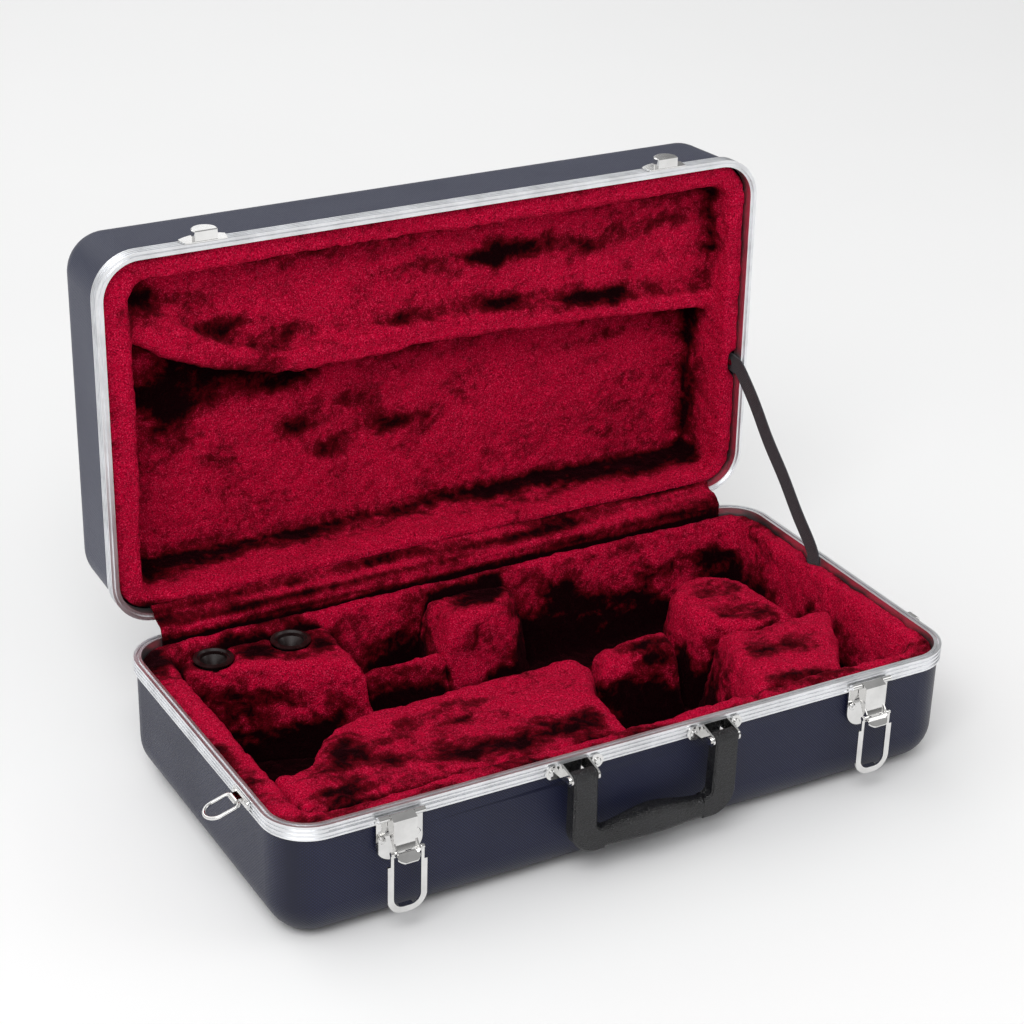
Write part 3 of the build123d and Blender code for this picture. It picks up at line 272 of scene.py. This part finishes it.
def leather_material(name, colour, highlight):
    """Black moulded leather grain: pebbles with creases between, and a painted sheen on the raised pebbles.
    """
    material, tree, shader = new_material(name)
    where = object_coordinates(tree)
    cells = node(tree, "ShaderNodeTexVoronoi", feature="DISTANCE_TO_EDGE")
    cells.inputs["Scale"].default_value = 620.0
    link(tree, where, cells.inputs["Vector"])
    pebble = ramp(tree, cells.outputs["Distance"], 0.0, 0.35)
    rub_and_sheen = noise_node(tree, where, 60.0, 4.0, 0.6)
    crease = noise_node(tree, where, 240.0, 4.0, 0.6)
    # painted sheen: the raised pebbles are painted in the lighter highlight colour, in patches that follow
    # the same noise as the roughness
    raised = math_node(tree, "MULTIPLY", pebble, ramp(tree, rub_and_sheen, 0.35, 0.75))
    base = mix_colour(tree, raised, colour, highlight)
    link(tree, base, shader.inputs["Base Color"])
    rough = math_node(tree, "MULTIPLY_ADD", rub_and_sheen, 0.35)
    rough.node.inputs[2].default_value = 0.18
    link(tree, rough, shader.inputs["Roughness"])
    height = math_node(tree, "MULTIPLY_ADD", crease, 0.8)
    link(tree, pebble, height.node.inputs[2])
    bump(tree, shader, height, 0.0005, 0.8)
    return material


def webbing_material(name, colour, highlight):
    """Woven webbing: ribs across, and a chevron of yarns along."""
    material, tree, shader = new_material(name)
    coordinates = node(tree, "ShaderNodeTexCoord")
    parts = node(tree, "ShaderNodeSeparateXYZ")
    link(tree, coordinates.outputs["UV"], parts.inputs[0])
    along = math_node(tree, "MULTIPLY", parts.outputs[0], 2 * math.pi / 0.0016)
    across = math_node(tree, "MULTIPLY", parts.outputs[1], 2 * math.pi / 0.0011)
    skew = math_node(tree, "ADD", along, math_node(tree, "ABSOLUTE", across))
    weave = math_node(tree, "MULTIPLY", math_node(tree, "SINE", skew), math_node(tree, "COSINE", across))
    fuzz = noise_node(tree, object_coordinates(tree), 700.0, 3.0, 0.6)
    lit = ramp(tree, math_node(tree, "ADD", weave, fuzz), -0.4, 1.3)
    link(tree, mix_colour(tree, lit, colour, highlight), shader.inputs["Base Color"])
    shader.inputs["Roughness"].default_value = 0.75
    shader.inputs["Sheen Weight"].default_value = 0.15
    bump(tree, shader, weave, 0.0004, 0.9)
    return material


def plastic_material(name, colour, roughness):
    material, tree, shader = new_material(name)
    where = object_coordinates(tree)
    cloud = noise_node(tree, where, 90.0, 3.0, 0.5)
    lighter = tuple(min(1.0, 1.8 * c + 0.01) for c in colour[:3]) + (1.0,)
    link(tree, mix_colour(tree, ramp(tree, cloud, 0.35, 0.8), colour, lighter), shader.inputs["Base Color"])
    rough = math_node(tree, "MULTIPLY_ADD", cloud, 0.2)
    rough.node.inputs[2].default_value = roughness
    link(tree, rough, shader.inputs["Roughness"])
    bump(tree, shader, cloud, 0.0002, 0.3)
    return material


DIAMOND_PITCH = 0.0023
# PILE_BRIGHT, PILE_MIDDLE and PILE_DARK colour both the painted shade and highlights and the pile's own tone
PILE_DARK = (0.006, 0.0002, 0.0008, 1.0)
PILE_MIDDLE = (0.125, 0.0008, 0.0055, 1.0)
PILE_BRIGHT = (0.47, 0.001, 0.029, 1.0)
# pale pink of the painted glints on the pile
PILE_GLINT = (0.85, 0.04, 0.12, 1.0)
# two copies of one plush: the base copy is painted darker overall as shade by its third number, 0.42 against
# 0.02 for the lid, and its patches are stronger
plush_base = plush_material("crushed_plush_base", 3.0, 0.42, 3.7)
plush_lid = plush_material("crushed_plush_lid", 1.4, 0.02, 9.1)
finishes = {
    "base_shell": shell_material("navy_shell", (0.001, 0.002, 0.015, 1), (0.009, 0.013, 0.056, 1), 0.33),
    "lid_shell": shell_material("grey_navy_shell", (0.022, 0.026, 0.05, 1), (0.05, 0.056, 0.1, 1), 0.38),
    "rim": metal_material("satin_aluminium", (0.88, 0.89, 0.91, 1), 0.3, (1, 1, 1), 0.14),
    "hardware": metal_material("polished_nickel", (0.8, 0.795, 0.785, 1), 0.05, (1, 1, 1), 0.06),
    "handle": leather_material("black_grained_handle", (0.004, 0.004, 0.005, 1), (0.026, 0.026, 0.03, 1)),
    "cup": plastic_material("dark_cup", (0.010, 0.004, 0.004, 1), 0.2),
    "webbing": webbing_material("dark_grey_webbing", (0.022, 0.022, 0.028, 1), (0.045, 0.045, 0.055, 1)),
    "plush": plush_base,
}
for row in frame["record"]["subparts"]:
    thing = nodes[row["node"]]
    thing.data.materials.clear()
    thing.data.materials.append(finishes[row["material_slot"]])
    thing.data.shade_smooth()
    thing.data.set_sharp_from_angle(angle=math.radians(32))


# Soft pieces
def link_object(name, mesh):
    made = bpy.data.objects.new(name, mesh)
    scene.collection.objects.link(made)
    return made


def settle(thing):
    """Applies the modifiers of a piece to its own mesh."""
    bpy.context.view_layer.update()
    view = bpy.context.evaluated_depsgraph_get()
    made = bpy.data.meshes.new_from_object(thing.evaluated_get(view))
    thing.modifiers.clear()
    thing.data = made
    return thing


PLUSH_VOXEL = 0.0018
GRID_STEP = 0.0016
DRAPE_SLOPE = 7.0
DRAPE_REACH = 0.011
EDGE_BLUR = 0.0030
LOOK_FROM = 0.15


def coordinates_of(mesh):
    found = np.zeros(len(mesh.vertices) * 3, np.float32)
    mesh.vertices.foreach_get("co", found)
    return found.reshape(-1, 3).astype(float)


def normals_of(mesh):
    found = np.zeros(len(mesh.vertices) * 3, np.float32)
    mesh.vertex_normals.foreach_get("vector", found)
    return found.reshape(-1, 3).astype(float)


def lattice_noise(places, size, seed):
    """Smooth random values from -1 to 1 with features of the given size."""
    scaled = places / np.asarray(size, float) + seed * 7.31
    cell = np.floor(scaled).astype(np.int64)
    part = scaled - cell
    part = part * part * (3 - 2 * part)
    total = np.zeros(len(places))
    for corner in np.ndindex(2, 2, 2):
        spot = (cell + corner) * (73856093, 19349663, 83492791)
        mixed = (spot[:, 0] ^ spot[:, 1] ^ spot[:, 2]) & 0xFFFFFFFF
        mixed = (mixed * 2654435761 + 12345) & 0xFFFFFFFF
        mixed ^= mixed >> 15
        value = (mixed * 2246822519 & 0xFFFFFFFF) / 0x7FFFFFFF - 1.0
        share = np.where(corner, part, 1 - part).prod(axis=1)
        total += share * value
    return total


def shifted(field, rows, columns, filler):
    """A map moved by whole cells, with a filler where nothing arrives."""
    moved = np.full_like(field, filler)
    tall, wide = field.shape
    target = moved[max(rows, 0):tall + min(rows, 0), max(columns, 0):wide + min(columns, 0)]
    target[...] = field[max(-rows, 0):tall + min(-rows, 0), max(-columns, 0):wide + min(-columns, 0)]
    return moved


def draped(heights, step):
    """Lets the cloth fall from every edge no steeper than the slope."""
    fallen = heights.copy()
    for _ in range(int(DRAPE_REACH / step)):
        for rows, columns in ((0, 1), (0, -1), (1, 0), (-1, 0), (1, 1), (1, -1), (-1, 1), (-1, -1)):
            drop = DRAPE_SLOPE * step * math.hypot(rows, columns)
            fallen = np.maximum(fallen, shifted(fallen, rows, columns, -1.0) - drop)
    return fallen


def blurred(field, radius, step):
    """A map averaged over a soft round spot."""
    reach = max(1, int(3 * radius / step))
    offsets = np.arange(-reach, reach + 1)
    weights = np.exp(-0.5 * (offsets * step / radius) ** 2)
    weights /= weights.sum()
    for axis in (0, 1):
        total = np.zeros_like(field)
        for offset, weight in zip(offsets, weights):
            rows, columns = (offset, 0) if axis == 0 else (0, offset)
            padded_field = np.pad(field, reach, mode="edge")
            moved = shifted(padded_field, rows, columns, 0.0)
            total += weight * moved[reach:-reach, reach:-reach]
        field = total
    return field


def sampled(field, columns, rows, across, along):
    """Values of a map between its grid points."""
    step = columns[1] - columns[0]
    x = np.clip((across - columns[0]) / step, 0, len(columns) - 1.001)
    y = np.clip((along - rows[0]) / step, 0, len(rows) - 1.001)
    i, j = x.astype(int), y.astype(int)
    x, y = x - i, y - j
    low = field[j, i] * (1 - x) + field[j, i + 1] * x
    high = field[j + 1, i] * (1 - x) + field[j + 1, i + 1] * x
    return low * (1 - y) + high * y


class Side:
    """One half of the case: its axes, and the height map of its linings."""

    def __init__(self, origin, across, along, out, node_names):
        self.origin = np.array(origin)
        self.turn = np.array((across, along, out))
        corners = []
        for name in node_names:
            corners.append(self.local(coordinates_of(nodes[name].data)))
        corners = np.concatenate(corners)
        low, high = corners.min(axis=0) - 3 * GRID_STEP, corners.max(axis=0) + 3 * GRID_STEP
        self.columns = np.arange(low[0], high[0], GRID_STEP)
        self.rows = np.arange(low[1], high[1], GRID_STEP)
        whole = self.height_map(node_names)
        self.inside = ~np.isnan(whole)
        self.whole = np.where(self.inside, whole, np.nanmax(whole))
        self.near = blurred(self.whole, 0.009, GRID_STEP)
        self.close = blurred(self.whole, 0.004, GRID_STEP)
        self.inner = blurred(self.inside.astype(float), 0.002, GRID_STEP)

    def local(self, places):
        return (places - self.origin) @ self.turn.T

    def world(self, places):
        return places @ self.turn + self.origin

    def height_map(self, node_names, from_below=False):
        """Where lines looking into this half, or out of it, first meet the nodes."""
        corners, faces = [], []
        for name in node_names:
            mesh = nodes[name].data
            start = len(corners)
            corners.extend(vertex.co.copy() for vertex in mesh.vertices)
            faces.extend([start + index for index in face.vertices] for face in mesh.polygons)
        tree = BVHTree.FromPolygons(corners, faces)
        way = 1.0 if from_below else -1.0
        aim = Vector(way * self.turn[2])
        heights = np.full((len(self.rows), len(self.columns)), np.nan)
        for j, along in enumerate(self.rows):
            line = np.zeros((len(self.columns), 3))
            line[:, 0] = self.columns
            line[:, 1] = along
            line[:, 2] = -way * LOOK_FROM
            for i, start in enumerate(self.world(line).tolist()):
                distance = tree.ray_cast(start, aim)[3]
                if distance is not None:
                    heights[j, i] = way * (distance - LOOK_FROM)
        return heights

    def solid(self, name, heights, covered, bottoms):
        """A closed block between two height maps."""
        index = np.full(covered.shape, -1)
        count = int(covered.sum())
        index[covered] = np.arange(count)
        j, i = np.nonzero(covered)
        top = np.stack((self.columns[i], self.rows[j], heights[j, i]), axis=1)
        low = top.copy()
        low[:, 2] = np.minimum(bottoms[j, i], top[:, 2] - GRID_STEP)
        full = covered[:-1, :-1] & covered[1:, :-1] & covered[:-1, 1:] & covered[1:, 1:]
        quads = np.stack(
            (index[:-1, :-1][full], index[:-1, 1:][full], index[1:, 1:][full], index[1:, :-1][full]),
            axis=1,
        )
        edges = np.concatenate([quads[:, (k, (k + 1) % 4)] for k in range(4)])
        codes = edges[:, 0] * count + edges[:, 1]
        turned = edges[:, 1] * count + edges[:, 0]
        rim = edges[~np.isin(turned, codes)]
        walls = np.stack((rim[:, 1], rim[:, 0], rim[:, 0] + count, rim[:, 1] + count), axis=1)
        faces = np.concatenate((quads, quads[:, ::-1] + count, walls))
        mesh = bpy.data.meshes.new(name)
        mesh.from_pydata(self.world(np.concatenate((top, low))).tolist(), [], faces.tolist())
        return link_object(name, mesh)


def pile_relief(places):
    """How far the pile stands out, in metres: lumps, folds, tufts, fibres."""
    relief = 0.0014 * lattice_noise(places, (0.06, 0.045, 0.045), 1)
    relief += 0.0011 * lattice_noise(places, (0.024, 0.016, 0.016), 2)
    relief += 0.0009 * lattice_noise(places, 0.008, 3)
    relief += 0.0008 * lattice_noise(places, 0.0042, 4)
    return relief


def plush_piece(side, name, node_names, body, material, shade, heights, covered, bottoms, holes=()):
    """A padded piece read off its nodes: draped, lumpy and tufted."""
    thing = side.solid(name, heights, covered, bottoms)
    even = thing.modifiers.new("even", "REMESH")
    even.mode = "VOXEL"
    even.voxel_size = PLUSH_VOXEL
    relax = thing.modifiers.new("relax", "SMOOTH")
    relax.factor = 0.5
    relax.iterations = 4
    settle(thing)
    mesh = thing.data
    places = coordinates_of(mesh)
    local = side.local(places)
    inner = sampled(side.inner, side.columns, side.rows, local[:, 0], local[:, 1])
    lowest = sampled(bottoms, side.columns, side.rows, local[:, 0], local[:, 1])
    free = np.clip((inner - 0.55) / 0.35, 0, 1) * np.clip((local[:, 2] - lowest) / 0.004, 0, 1)
    for across, along, radius in holes:
        gap = np.hypot(local[:, 0] - across, local[:, 1] - along) - radius
        free *= np.clip(gap / 0.004, 0, 1)
    moved = places + normals_of(mesh) * (free * pile_relief(places))[:, None]
    mesh.vertices.foreach_set("co", moved.astype(np.float32).ravel())
    mesh.update()
    layer = mesh.attributes.new("shade", "FLOAT", "POINT")
    facing = normals_of(mesh) @ side.turn[2]
    layer.data.foreach_set("value", shade(side, moved, side.local(moved), facing).astype(np.float32))
    mesh.materials.clear()
    mesh.materials.append(material)
    mesh.shade_smooth()
    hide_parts(*node_names)
    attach(thing, body)
    return thing


def hollow_shade(side, local, gain, edge_gain):
    """Painted shade in hollows and creases, and painted highlights along raised edges."""
    near = sampled(side.near, side.columns, side.rows, local[:, 0], local[:, 1])
    close = sampled(side.close, side.columns, side.rows, local[:, 0], local[:, 1])
    sunk = (near - local[:, 2]) / 0.012
    crease = np.clip((close - local[:, 2]) / 0.006, 0, 1.2)
    broad = np.where(sunk > 0, gain * np.clip(sunk, 0, 1.5), edge_gain * np.clip(sunk, -0.8, 0))
    return broad + 0.5 * gain * crease


# How much each cause darkens the pile of the base and the lid; hollows, depth and walls are painted shade,
# and the edge gains paint highlights along raised edges
HOLLOW_GAIN = 0.6
BASE_EDGE_GAIN = 0.85
LID_EDGE_GAIN = 0.3
DEPTH_GAIN = 0.75
WALL_GAIN = 0.25
REAR_GAIN = 0.38
STREAK_GAIN = 0.35
CLOUD_GAIN = 0.3
SMEAR_GAIN = 0.3


def base_shade(side, places, local, facing):
    """Painted shade deep down and on walls, darker towards the hinge, with smeared streaks."""
    depth = np.clip((0.076 - local[:, 2]) / 0.045, 0, 1)
    streak = lattice_noise(places, (0.075, 0.02, 0.03), 11)
    cloud = lattice_noise(places, (0.04, 0.03, 0.03), 12)
    wall = np.clip(0.75 - facing, 0, 1)
    smear = lattice_noise(places, (0.03, 0.009, 0.012), 13)
    rear = np.clip((local[:, 1] - 0.055) / 0.045, 0, 1)
    return (
        hollow_shade(side, local, HOLLOW_GAIN, BASE_EDGE_GAIN)
        + DEPTH_GAIN * depth
        + WALL_GAIN * wall
        + REAR_GAIN * rear
        + STREAK_GAIN * streak
        + CLOUD_GAIN * cloud
        + SMEAR_GAIN * smear
    )


# Where a hand has brushed the lid's pile over: place and reach along the
# lid and up from its hinge edge, in metres, and strength
BRUSHED = (
    (-0.200, 0.164, 0.032, 0.020, 1.0),
    (-0.205, 0.132, 0.020, 0.022, 0.7),
    (-0.147, 0.175, 0.026, 0.011, 0.9),
    (-0.109, 0.154, 0.029, 0.011, 0.9),
    (-0.102, 0.114, 0.018, 0.008, 0.7),
    (-0.026, 0.102, 0.021, 0.007, 0.8),
    (-0.073, 0.093, 0.014, 0.007, 0.7),
    (-0.163, 0.102, 0.014, 0.008, 0.5),
    (0.110, 0.032, 0.011, 0.008, 0.4),
    (-0.075, 0.127, 0.021, 0.010, 0.5),
    (0.166, 0.140, 0.028, 0.006, 0.5),
    (-0.228, 0.244, 0.014, 0.014, 0.9),
    (-0.198, 0.245, 0.016, 0.007, 0.5),
    (0.045, 0.235, 0.022, 0.006, 0.8),
    (0.078, 0.234, 0.030, 0.007, 0.9),
    (0.141, 0.230, 0.023, 0.006, 0.8),
    (0.205, 0.235, 0.020, 0.007, 0.6),
    (-0.165, 0.213, 0.018, 0.006, 0.8),
    (-0.112, 0.198, 0.019, 0.006, 0.6),
    (-0.019, 0.195, 0.018, 0.006, 0.7),
    (0.069, 0.194, 0.021, 0.005, 0.7),
    (0.125, 0.183, 0.023, 0.006, 0.8),
    (0.161, 0.181, 0.028, 0.005, 0.7),
)


def lid_shade(side, places, local, facing):
    """Brushed patches, painted shade in hollows and on the walls of the recesses, painted highlights along
    raised edges, and streaks at the hinge edge.
    """
    total = hollow_shade(side, local, HOLLOW_GAIN, LID_EDGE_GAIN)
    wander = 0.010 * lattice_noise(places, 0.022, 21) + 0.004 * lattice_noise(places, 0.008, 22)
    across, along = local[:, 0] + wander, local[:, 1] + 0.6 * wander
    for place, height, wide, tall, strength in BRUSHED:
        distance = ((across - place) / wide) ** 2 + ((along - height) / tall) ** 2
        total += 0.95 * strength * np.exp(-0.8 * distance)
    deep = np.clip((-0.010 - local[:, 2]) / 0.03, 0, 1)
    wall = np.clip(0.8 - facing, 0, 1)
    low = np.clip((0.040 - local[:, 1]) / 0.012, 0, 1)
    streak = lattice_noise(places, (0.11, 0.02, 0.009), 23)
    streak = streak + 0.5 * lattice_noise(places, (0.04, 0.02, 0.005), 24)
    grain = lattice_noise(places, (0.02, 0.012, 0.012), 25)
    return total + 0.7 * wall * deep + 0.16 * grain + low * (0.3 + 0.7 * streak)


BASE_PADS = ("base_floor_pad", "base_front_pad", "base_rear_pad", "base_left_pad", "base_right_pad")
BASE_BLOCKS = (
    "mouthpiece_block",
    "bell_side_block",
    "rear_divider",
    "rear_centre_block",
    "valve_rest",
    "valve_side_block",
    "rear_side_block",
)
LID_NODES = ("lid_lining", "lid_upper_pad", "lid_ridge")
FLOOR_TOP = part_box("base_floor_pad")[1].z
base_side = Side((0, 0, 0), (1, 0, 0), (0, 1, 0), (0, 0, 1), BASE_PADS + BASE_BLOCKS)
lid_side = Side(HINGE, (1, 0, 0), LEAN, -OUT, LID_NODES)


def cup_holes():
    """Places and radii of the holes that the mouthpiece cups fill."""
    found = []
    for name in ("mouthpiece_cup_left", "mouthpiece_cup_right"):
        low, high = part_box(name)
        middle = (low + high) / 2
        found.append((middle.x, middle.y, (high.x - low.x) / 2))
    return found


def lining_maps(side, node_names, blur):
    """The draped face of a lining, where it is, and its back."""
    heights = side.height_map(node_names)
    covered = ~np.isnan(heights)
    filled = np.where(covered, heights, np.nanmax(heights))
    backs = side.height_map(node_names, from_below=True)
    backs = np.where(np.isnan(backs), np.nanmax(backs), backs)
    return blurred(draped(filled, GRID_STEP), blur, GRID_STEP), covered, backs


def add_base_pads():
    soft, covered, bottoms = lining_maps(base_side, BASE_PADS, EDGE_BLUR)
    plush_piece(
        base_side, "base_lining_plush", BASE_PADS, "base", plush_base, base_shade,
        soft, covered, bottoms,
    )


def add_base_block(node_name):
    heights = base_side.height_map([node_name])
    filled = np.where(np.isnan(heights), FLOOR_TOP - 0.004, heights)
    soft = blurred(draped(filled, GRID_STEP), EDGE_BLUR, GRID_STEP)
    covered = (soft > FLOOR_TOP) & on_floor
    holes = cup_holes() if node_name == "mouthpiece_block" else ()
    for across, along, radius in holes:
        spread = np.hypot(base_side.columns[None, :] - across, base_side.rows[:, None] - along)
        soft = np.where(spread < radius - 0.001, soft - 0.012, soft)
    plush_piece(
        base_side, node_name + "_plush", [node_name], "base", plush_base, base_shade,
        soft, covered, np.full_like(soft, FLOOR_TOP - 0.002), holes,
    )


def add_lid_lining():
    soft, covered, bottoms = lining_maps(lid_side, LID_NODES, 0.5 * EDGE_BLUR)
    plush_piece(lid_side, "lid_lining_plush", LID_NODES, "lid", plush_lid, lid_shade, soft, covered, bottoms)


pad_heights = base_side.height_map(BASE_PADS)
on_floor = np.nan_to_num(pad_heights, nan=1.0) < FLOOR_TOP + 0.002
add_base_pads()
for block_name in BASE_BLOCKS:
    add_base_block(block_name)
add_lid_lining()


# Cloth strips: the stay strap and the flap over the hinge gap
STRAP_X = 0.26325
STRAP_REACH = 0.114
STRAP_TAIL = 0.017


def smooth_path(points, count):
    """Even points along a Catmull-Rom curve through the given ones."""
    points = [Vector(p) for p in points]
    ends = [points[0] * 2 - points[1], *points, points[-1] * 2 - points[-2]]
    fine = []
    for a, b, c, d in zip(ends, ends[1:], ends[2:], ends[3:]):
        for t in np.linspace(0, 1, 40, endpoint=False):
            fine.append(
                0.5
                * (
                    2 * b
                    + (c - a) * t
                    + (2 * a - 5 * b + 4 * c - d) * t * t
                    + (3 * b - a - 3 * c + d) * t * t * t
                )
            )
    fine.append(points[-1])
    steps = [0.0]
    for first, second in zip(fine, fine[1:]):
        steps.append(steps[-1] + (second - first).length)
    wanted = np.linspace(0, steps[-1], count)
    columns = [np.interp(wanted, steps, [p[i] for p in fine]) for i in range(3)]
    return [Vector(p) for p in zip(*columns)], steps[-1]


def strip_mesh(name, rows, thickness, material, levels=1):
    """A closed band with thickness from rows of points across it."""
    across = len(rows[0])
    flat = [p for row in rows for p in row]
    faces = []
    for i in range(len(rows) - 1):
        for j in range(across - 1):
            a = i * across + j
            faces.append((a, a + 1, a + across + 1, a + across))
    mesh = bpy.data.meshes.new(name)
    mesh.from_pydata([tuple(p) for p in flat], [], faces)
    uv = mesh.uv_layers.new(name="band")
    along = [0.0]
    for first, second in zip(rows, rows[1:]):
        along.append(along[-1] + (second[0] - first[0]).length)
    side = [(rows[0][j] - rows[0][0]).length for j in range(across)]
    for loop in mesh.loops:
        i, j = divmod(loop.vertex_index, across)
        uv.data[loop.index].uv = (along[i], side[j] - side[-1] / 2)
    thing = link_object(name, mesh)
    solid = thing.modifiers.new("thick", "SOLIDIFY")
    solid.thickness = thickness
    solid.offset = 0
    if levels:
        round_off = thing.modifiers.new("round", "SUBSURF")
        round_off.levels = levels
        round_off.render_levels = levels
    settle(thing)
    thing.data.materials.clear()
    thing.data.materials.append(material)
    thing.data.shade_smooth()
    return thing


def add_stay_strap():
    start = Vector((STRAP_X, HINGE.y - STRAP_REACH, BASE_HEIGHT))
    finish = Vector((STRAP_X, HINGE.y, BASE_HEIGHT)) + STRAP_REACH * LEAN
    tail = start - Vector((0, 0, STRAP_TAIL))
    lid_tail = finish + STRAP_TAIL * OUT
    run = (finish - start).normalized()
    path, length = smooth_path(
        [
            tail,
            tail.lerp(start, 0.55),
            start + 0.006 * run,
            start.lerp(finish, 0.35),
            start.lerp(finish, 0.65),
            finish - 0.006 * run,
            finish.lerp(lid_tail, 0.45),
            lid_tail,
        ],
        90,
    )
    rows = []
    for i, place in enumerate(path):
        ahead = path[min(i + 1, len(path) - 1)] - path[max(i - 1, 0)]
        ahead.normalize()
        side = ahead.cross(Vector((1, 0, 0))).normalized()
        along = i / (len(path) - 1)
        curl = 0.0004 * math.sin(along * 19.0)
        row = []
        for share in (-0.5, -0.47, -0.25, 0.0, 0.25, 0.47, 0.5):
            cup = curl + 0.0003 * math.cos(share * math.pi)
            row.append(place + side * (share * STRAP_WIDTH) + Vector((cup, 0, 0)))
        rows.append(row)
    strap = strip_mesh("stay_strap_webbing", rows, STRAP_THICKNESS, finishes["webbing"])
    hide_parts("lid_stay_strap")
    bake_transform(strap)


COVER_THICKNESS = 0.0022
COVER_COLUMNS = 260
COVER_ROWS = 34


def cover_shade(places):
    """Long streaks along the flap, and painted shade in the crease at its lower edge."""
    streak = lattice_noise(places, (0.13, 0.01, 0.006), 31)
    streak += 0.6 * lattice_noise(places, (0.05, 0.01, 0.003), 32)
    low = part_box("hinge_cover")[0].z
    crease = np.exp(-(((places[:, 2] - low) / 0.006) ** 2))
    return 0.52 + 0.65 * streak + 0.9 * crease


def add_hinge_cover():
    low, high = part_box("hinge_cover")
    route = [
        (0.0, low.y + 0.0008, low.z - 0.002),
        (0.0, low.y + 0.0007, low.z + 0.006),
        (0.0, low.y + 0.0035, low.z + 0.0125),
        (0.0, high.y - 0.008, high.z - 0.0065),
        (0.0, high.y - 0.0005, high.z - 0.001),
    ]
    path, length = smooth_path(route, COVER_ROWS)
    rows = []
    for place in path:
        rows.append(
            [
                Vector((low.x + (high.x - low.x) * i / COVER_COLUMNS, place.y, place.z))
                for i in range(COVER_COLUMNS + 1)
            ]
        )
    cover = strip_mesh("hinge_cover_plush", rows, COVER_THICKNESS, plush_lid, levels=0)
    places = coordinates_of(cover.data)
    relief = 0.0006 * lattice_noise(places, (0.03, 0.01, 0.006), 33)
    relief += 0.0006 * lattice_noise(places, 0.0042, 34)
    moved = places + normals_of(cover.data) * relief[:, None]
    cover.data.vertices.foreach_set("co", moved.astype(np.float32).ravel())
    cover.data.update()
    layer = cover.data.attributes.new("shade", "FLOAT", "POINT")
    layer.data.foreach_set("value", cover_shade(moved).astype(np.float32))
    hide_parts("hinge_cover")
    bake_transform(cover)


add_stay_strap()
add_hinge_cover()


# Camera and light
CAMERA_PLACE = Vector((-0.7993, -1.3374, 0.9636))
CAMERA_TURN = math.radians(-29.95)
CAMERA_RISE = math.radians(26.07)
CAMERA_ROLL = math.radians(1.59)
FOCAL_PIXELS = 2464.9
IMAGE_PIXELS = 1024
SENSOR = 36.0
CAMERA_FAR = 50.0

# Floor, lights (name, place, aim, size in metres, power in watts) and studio
FLOOR_REACH = 25.0
LIGHTS = (
    ("key", (-1.3, -1.5, 2.3), (0, 0, 0.1), (1.6, 1.2), 34),
    ("fill", (1.8, -1.2, 1.4), (0, 0, 0.1), (1.4, 1.4), 7),
    ("rim_light", (0.2, 2.4, 1.7), (0, 0, 0.2), (3.0, 1.2), 10),
)
HORIZON_STRENGTH = 0.5
OVERHEAD_GAIN = 0.5
RIGHT_SIDE_LOSS = 0.62


def add_camera():
    turn, rise, roll = CAMERA_TURN, CAMERA_RISE, CAMERA_ROLL
    back = Vector((math.sin(turn) * math.cos(rise), -math.cos(turn) * math.cos(rise), math.sin(rise)))
    right = Vector((math.cos(turn), math.sin(turn), 0))
    up = back.cross(right)
    across = right * math.cos(roll) + up * math.sin(roll)
    upward = up * math.cos(roll) - right * math.sin(roll)
    data = bpy.data.cameras.new("camera")
    data.sensor_width = SENSOR
    data.lens = FOCAL_PIXELS / IMAGE_PIXELS * SENSOR
    data.clip_end = CAMERA_FAR
    camera = bpy.data.objects.new("camera", data)
    scene.collection.objects.link(camera)
    turned = Matrix((across, upward, back)).transposed().to_4x4()
    camera.matrix_world = Matrix.Translation(CAMERA_PLACE) @ turned
    scene.camera = camera


def add_area(name, place, target, size, power):
    data = bpy.data.lights.new(name, "AREA")
    data.shape = "RECTANGLE"
    data.size, data.size_y = size
    data.energy = power
    light = bpy.data.objects.new(name, data)
    scene.collection.objects.link(light)
    light.location = place
    aim = Vector(target) - Vector(place)
    light.rotation_euler = aim.to_track_quat("-Z", "Y").to_euler()


def add_floor():
    size = FLOOR_REACH
    mesh = bpy.data.meshes.new("floor")
    corners = [(-size, -size, 0), (size, -size, 0), (size, size, 0), (-size, size, 0)]
    mesh.from_pydata(corners, [], [(0, 1, 2, 3)])
    floor = link_object("floor", mesh)
    material, tree, shader = new_material("pale_floor")
    cloud = noise_node(tree, object_coordinates(tree), 2.0, 2.0)
    pale = mix_colour(tree, cloud, (0.93, 0.93, 0.93, 1), (0.96, 0.96, 0.96, 1))
    link(tree, pale, shader.inputs["Base Color"])
    shader.inputs["Roughness"].default_value = 0.8
    mesh.materials.append(material)


add_camera()
add_floor()
for light_settings in LIGHTS:
    add_area(*light_settings)


def add_studio():
    """A soft white studio, dimmer low down and to the right so that metal shows its form."""
    world = bpy.data.worlds.new("studio")
    world.use_nodes = True
    tree = world.node_tree
    background = tree.nodes["Background"]
    coordinates = node(tree, "ShaderNodeTexCoord")
    parts = node(tree, "ShaderNodeSeparateXYZ")
    link(tree, coordinates.outputs["Generated"], parts.inputs[0])
    height = ramp(tree, parts.outputs[2], 0.02, 0.55)
    background.inputs["Color"].default_value = (1.0, 1.0, 1.0, 1.0)
    strength = math_node(tree, "MULTIPLY_ADD", height, OVERHEAD_GAIN)
    strength.node.inputs[2].default_value = HORIZON_STRENGTH
    side = ramp(tree, parts.outputs[0], -0.15, 0.35)
    shaded = math_node(tree, "MULTIPLY_ADD", side, -RIGHT_SIDE_LOSS)
    shaded.node.inputs[2].default_value = 1.0
    strength = math_node(tree, "MULTIPLY", strength, shaded)
    link(tree, strength, background.inputs["Strength"])
    scene.world = world


add_studio()
scene.view_settings.view_transform = "Standard"
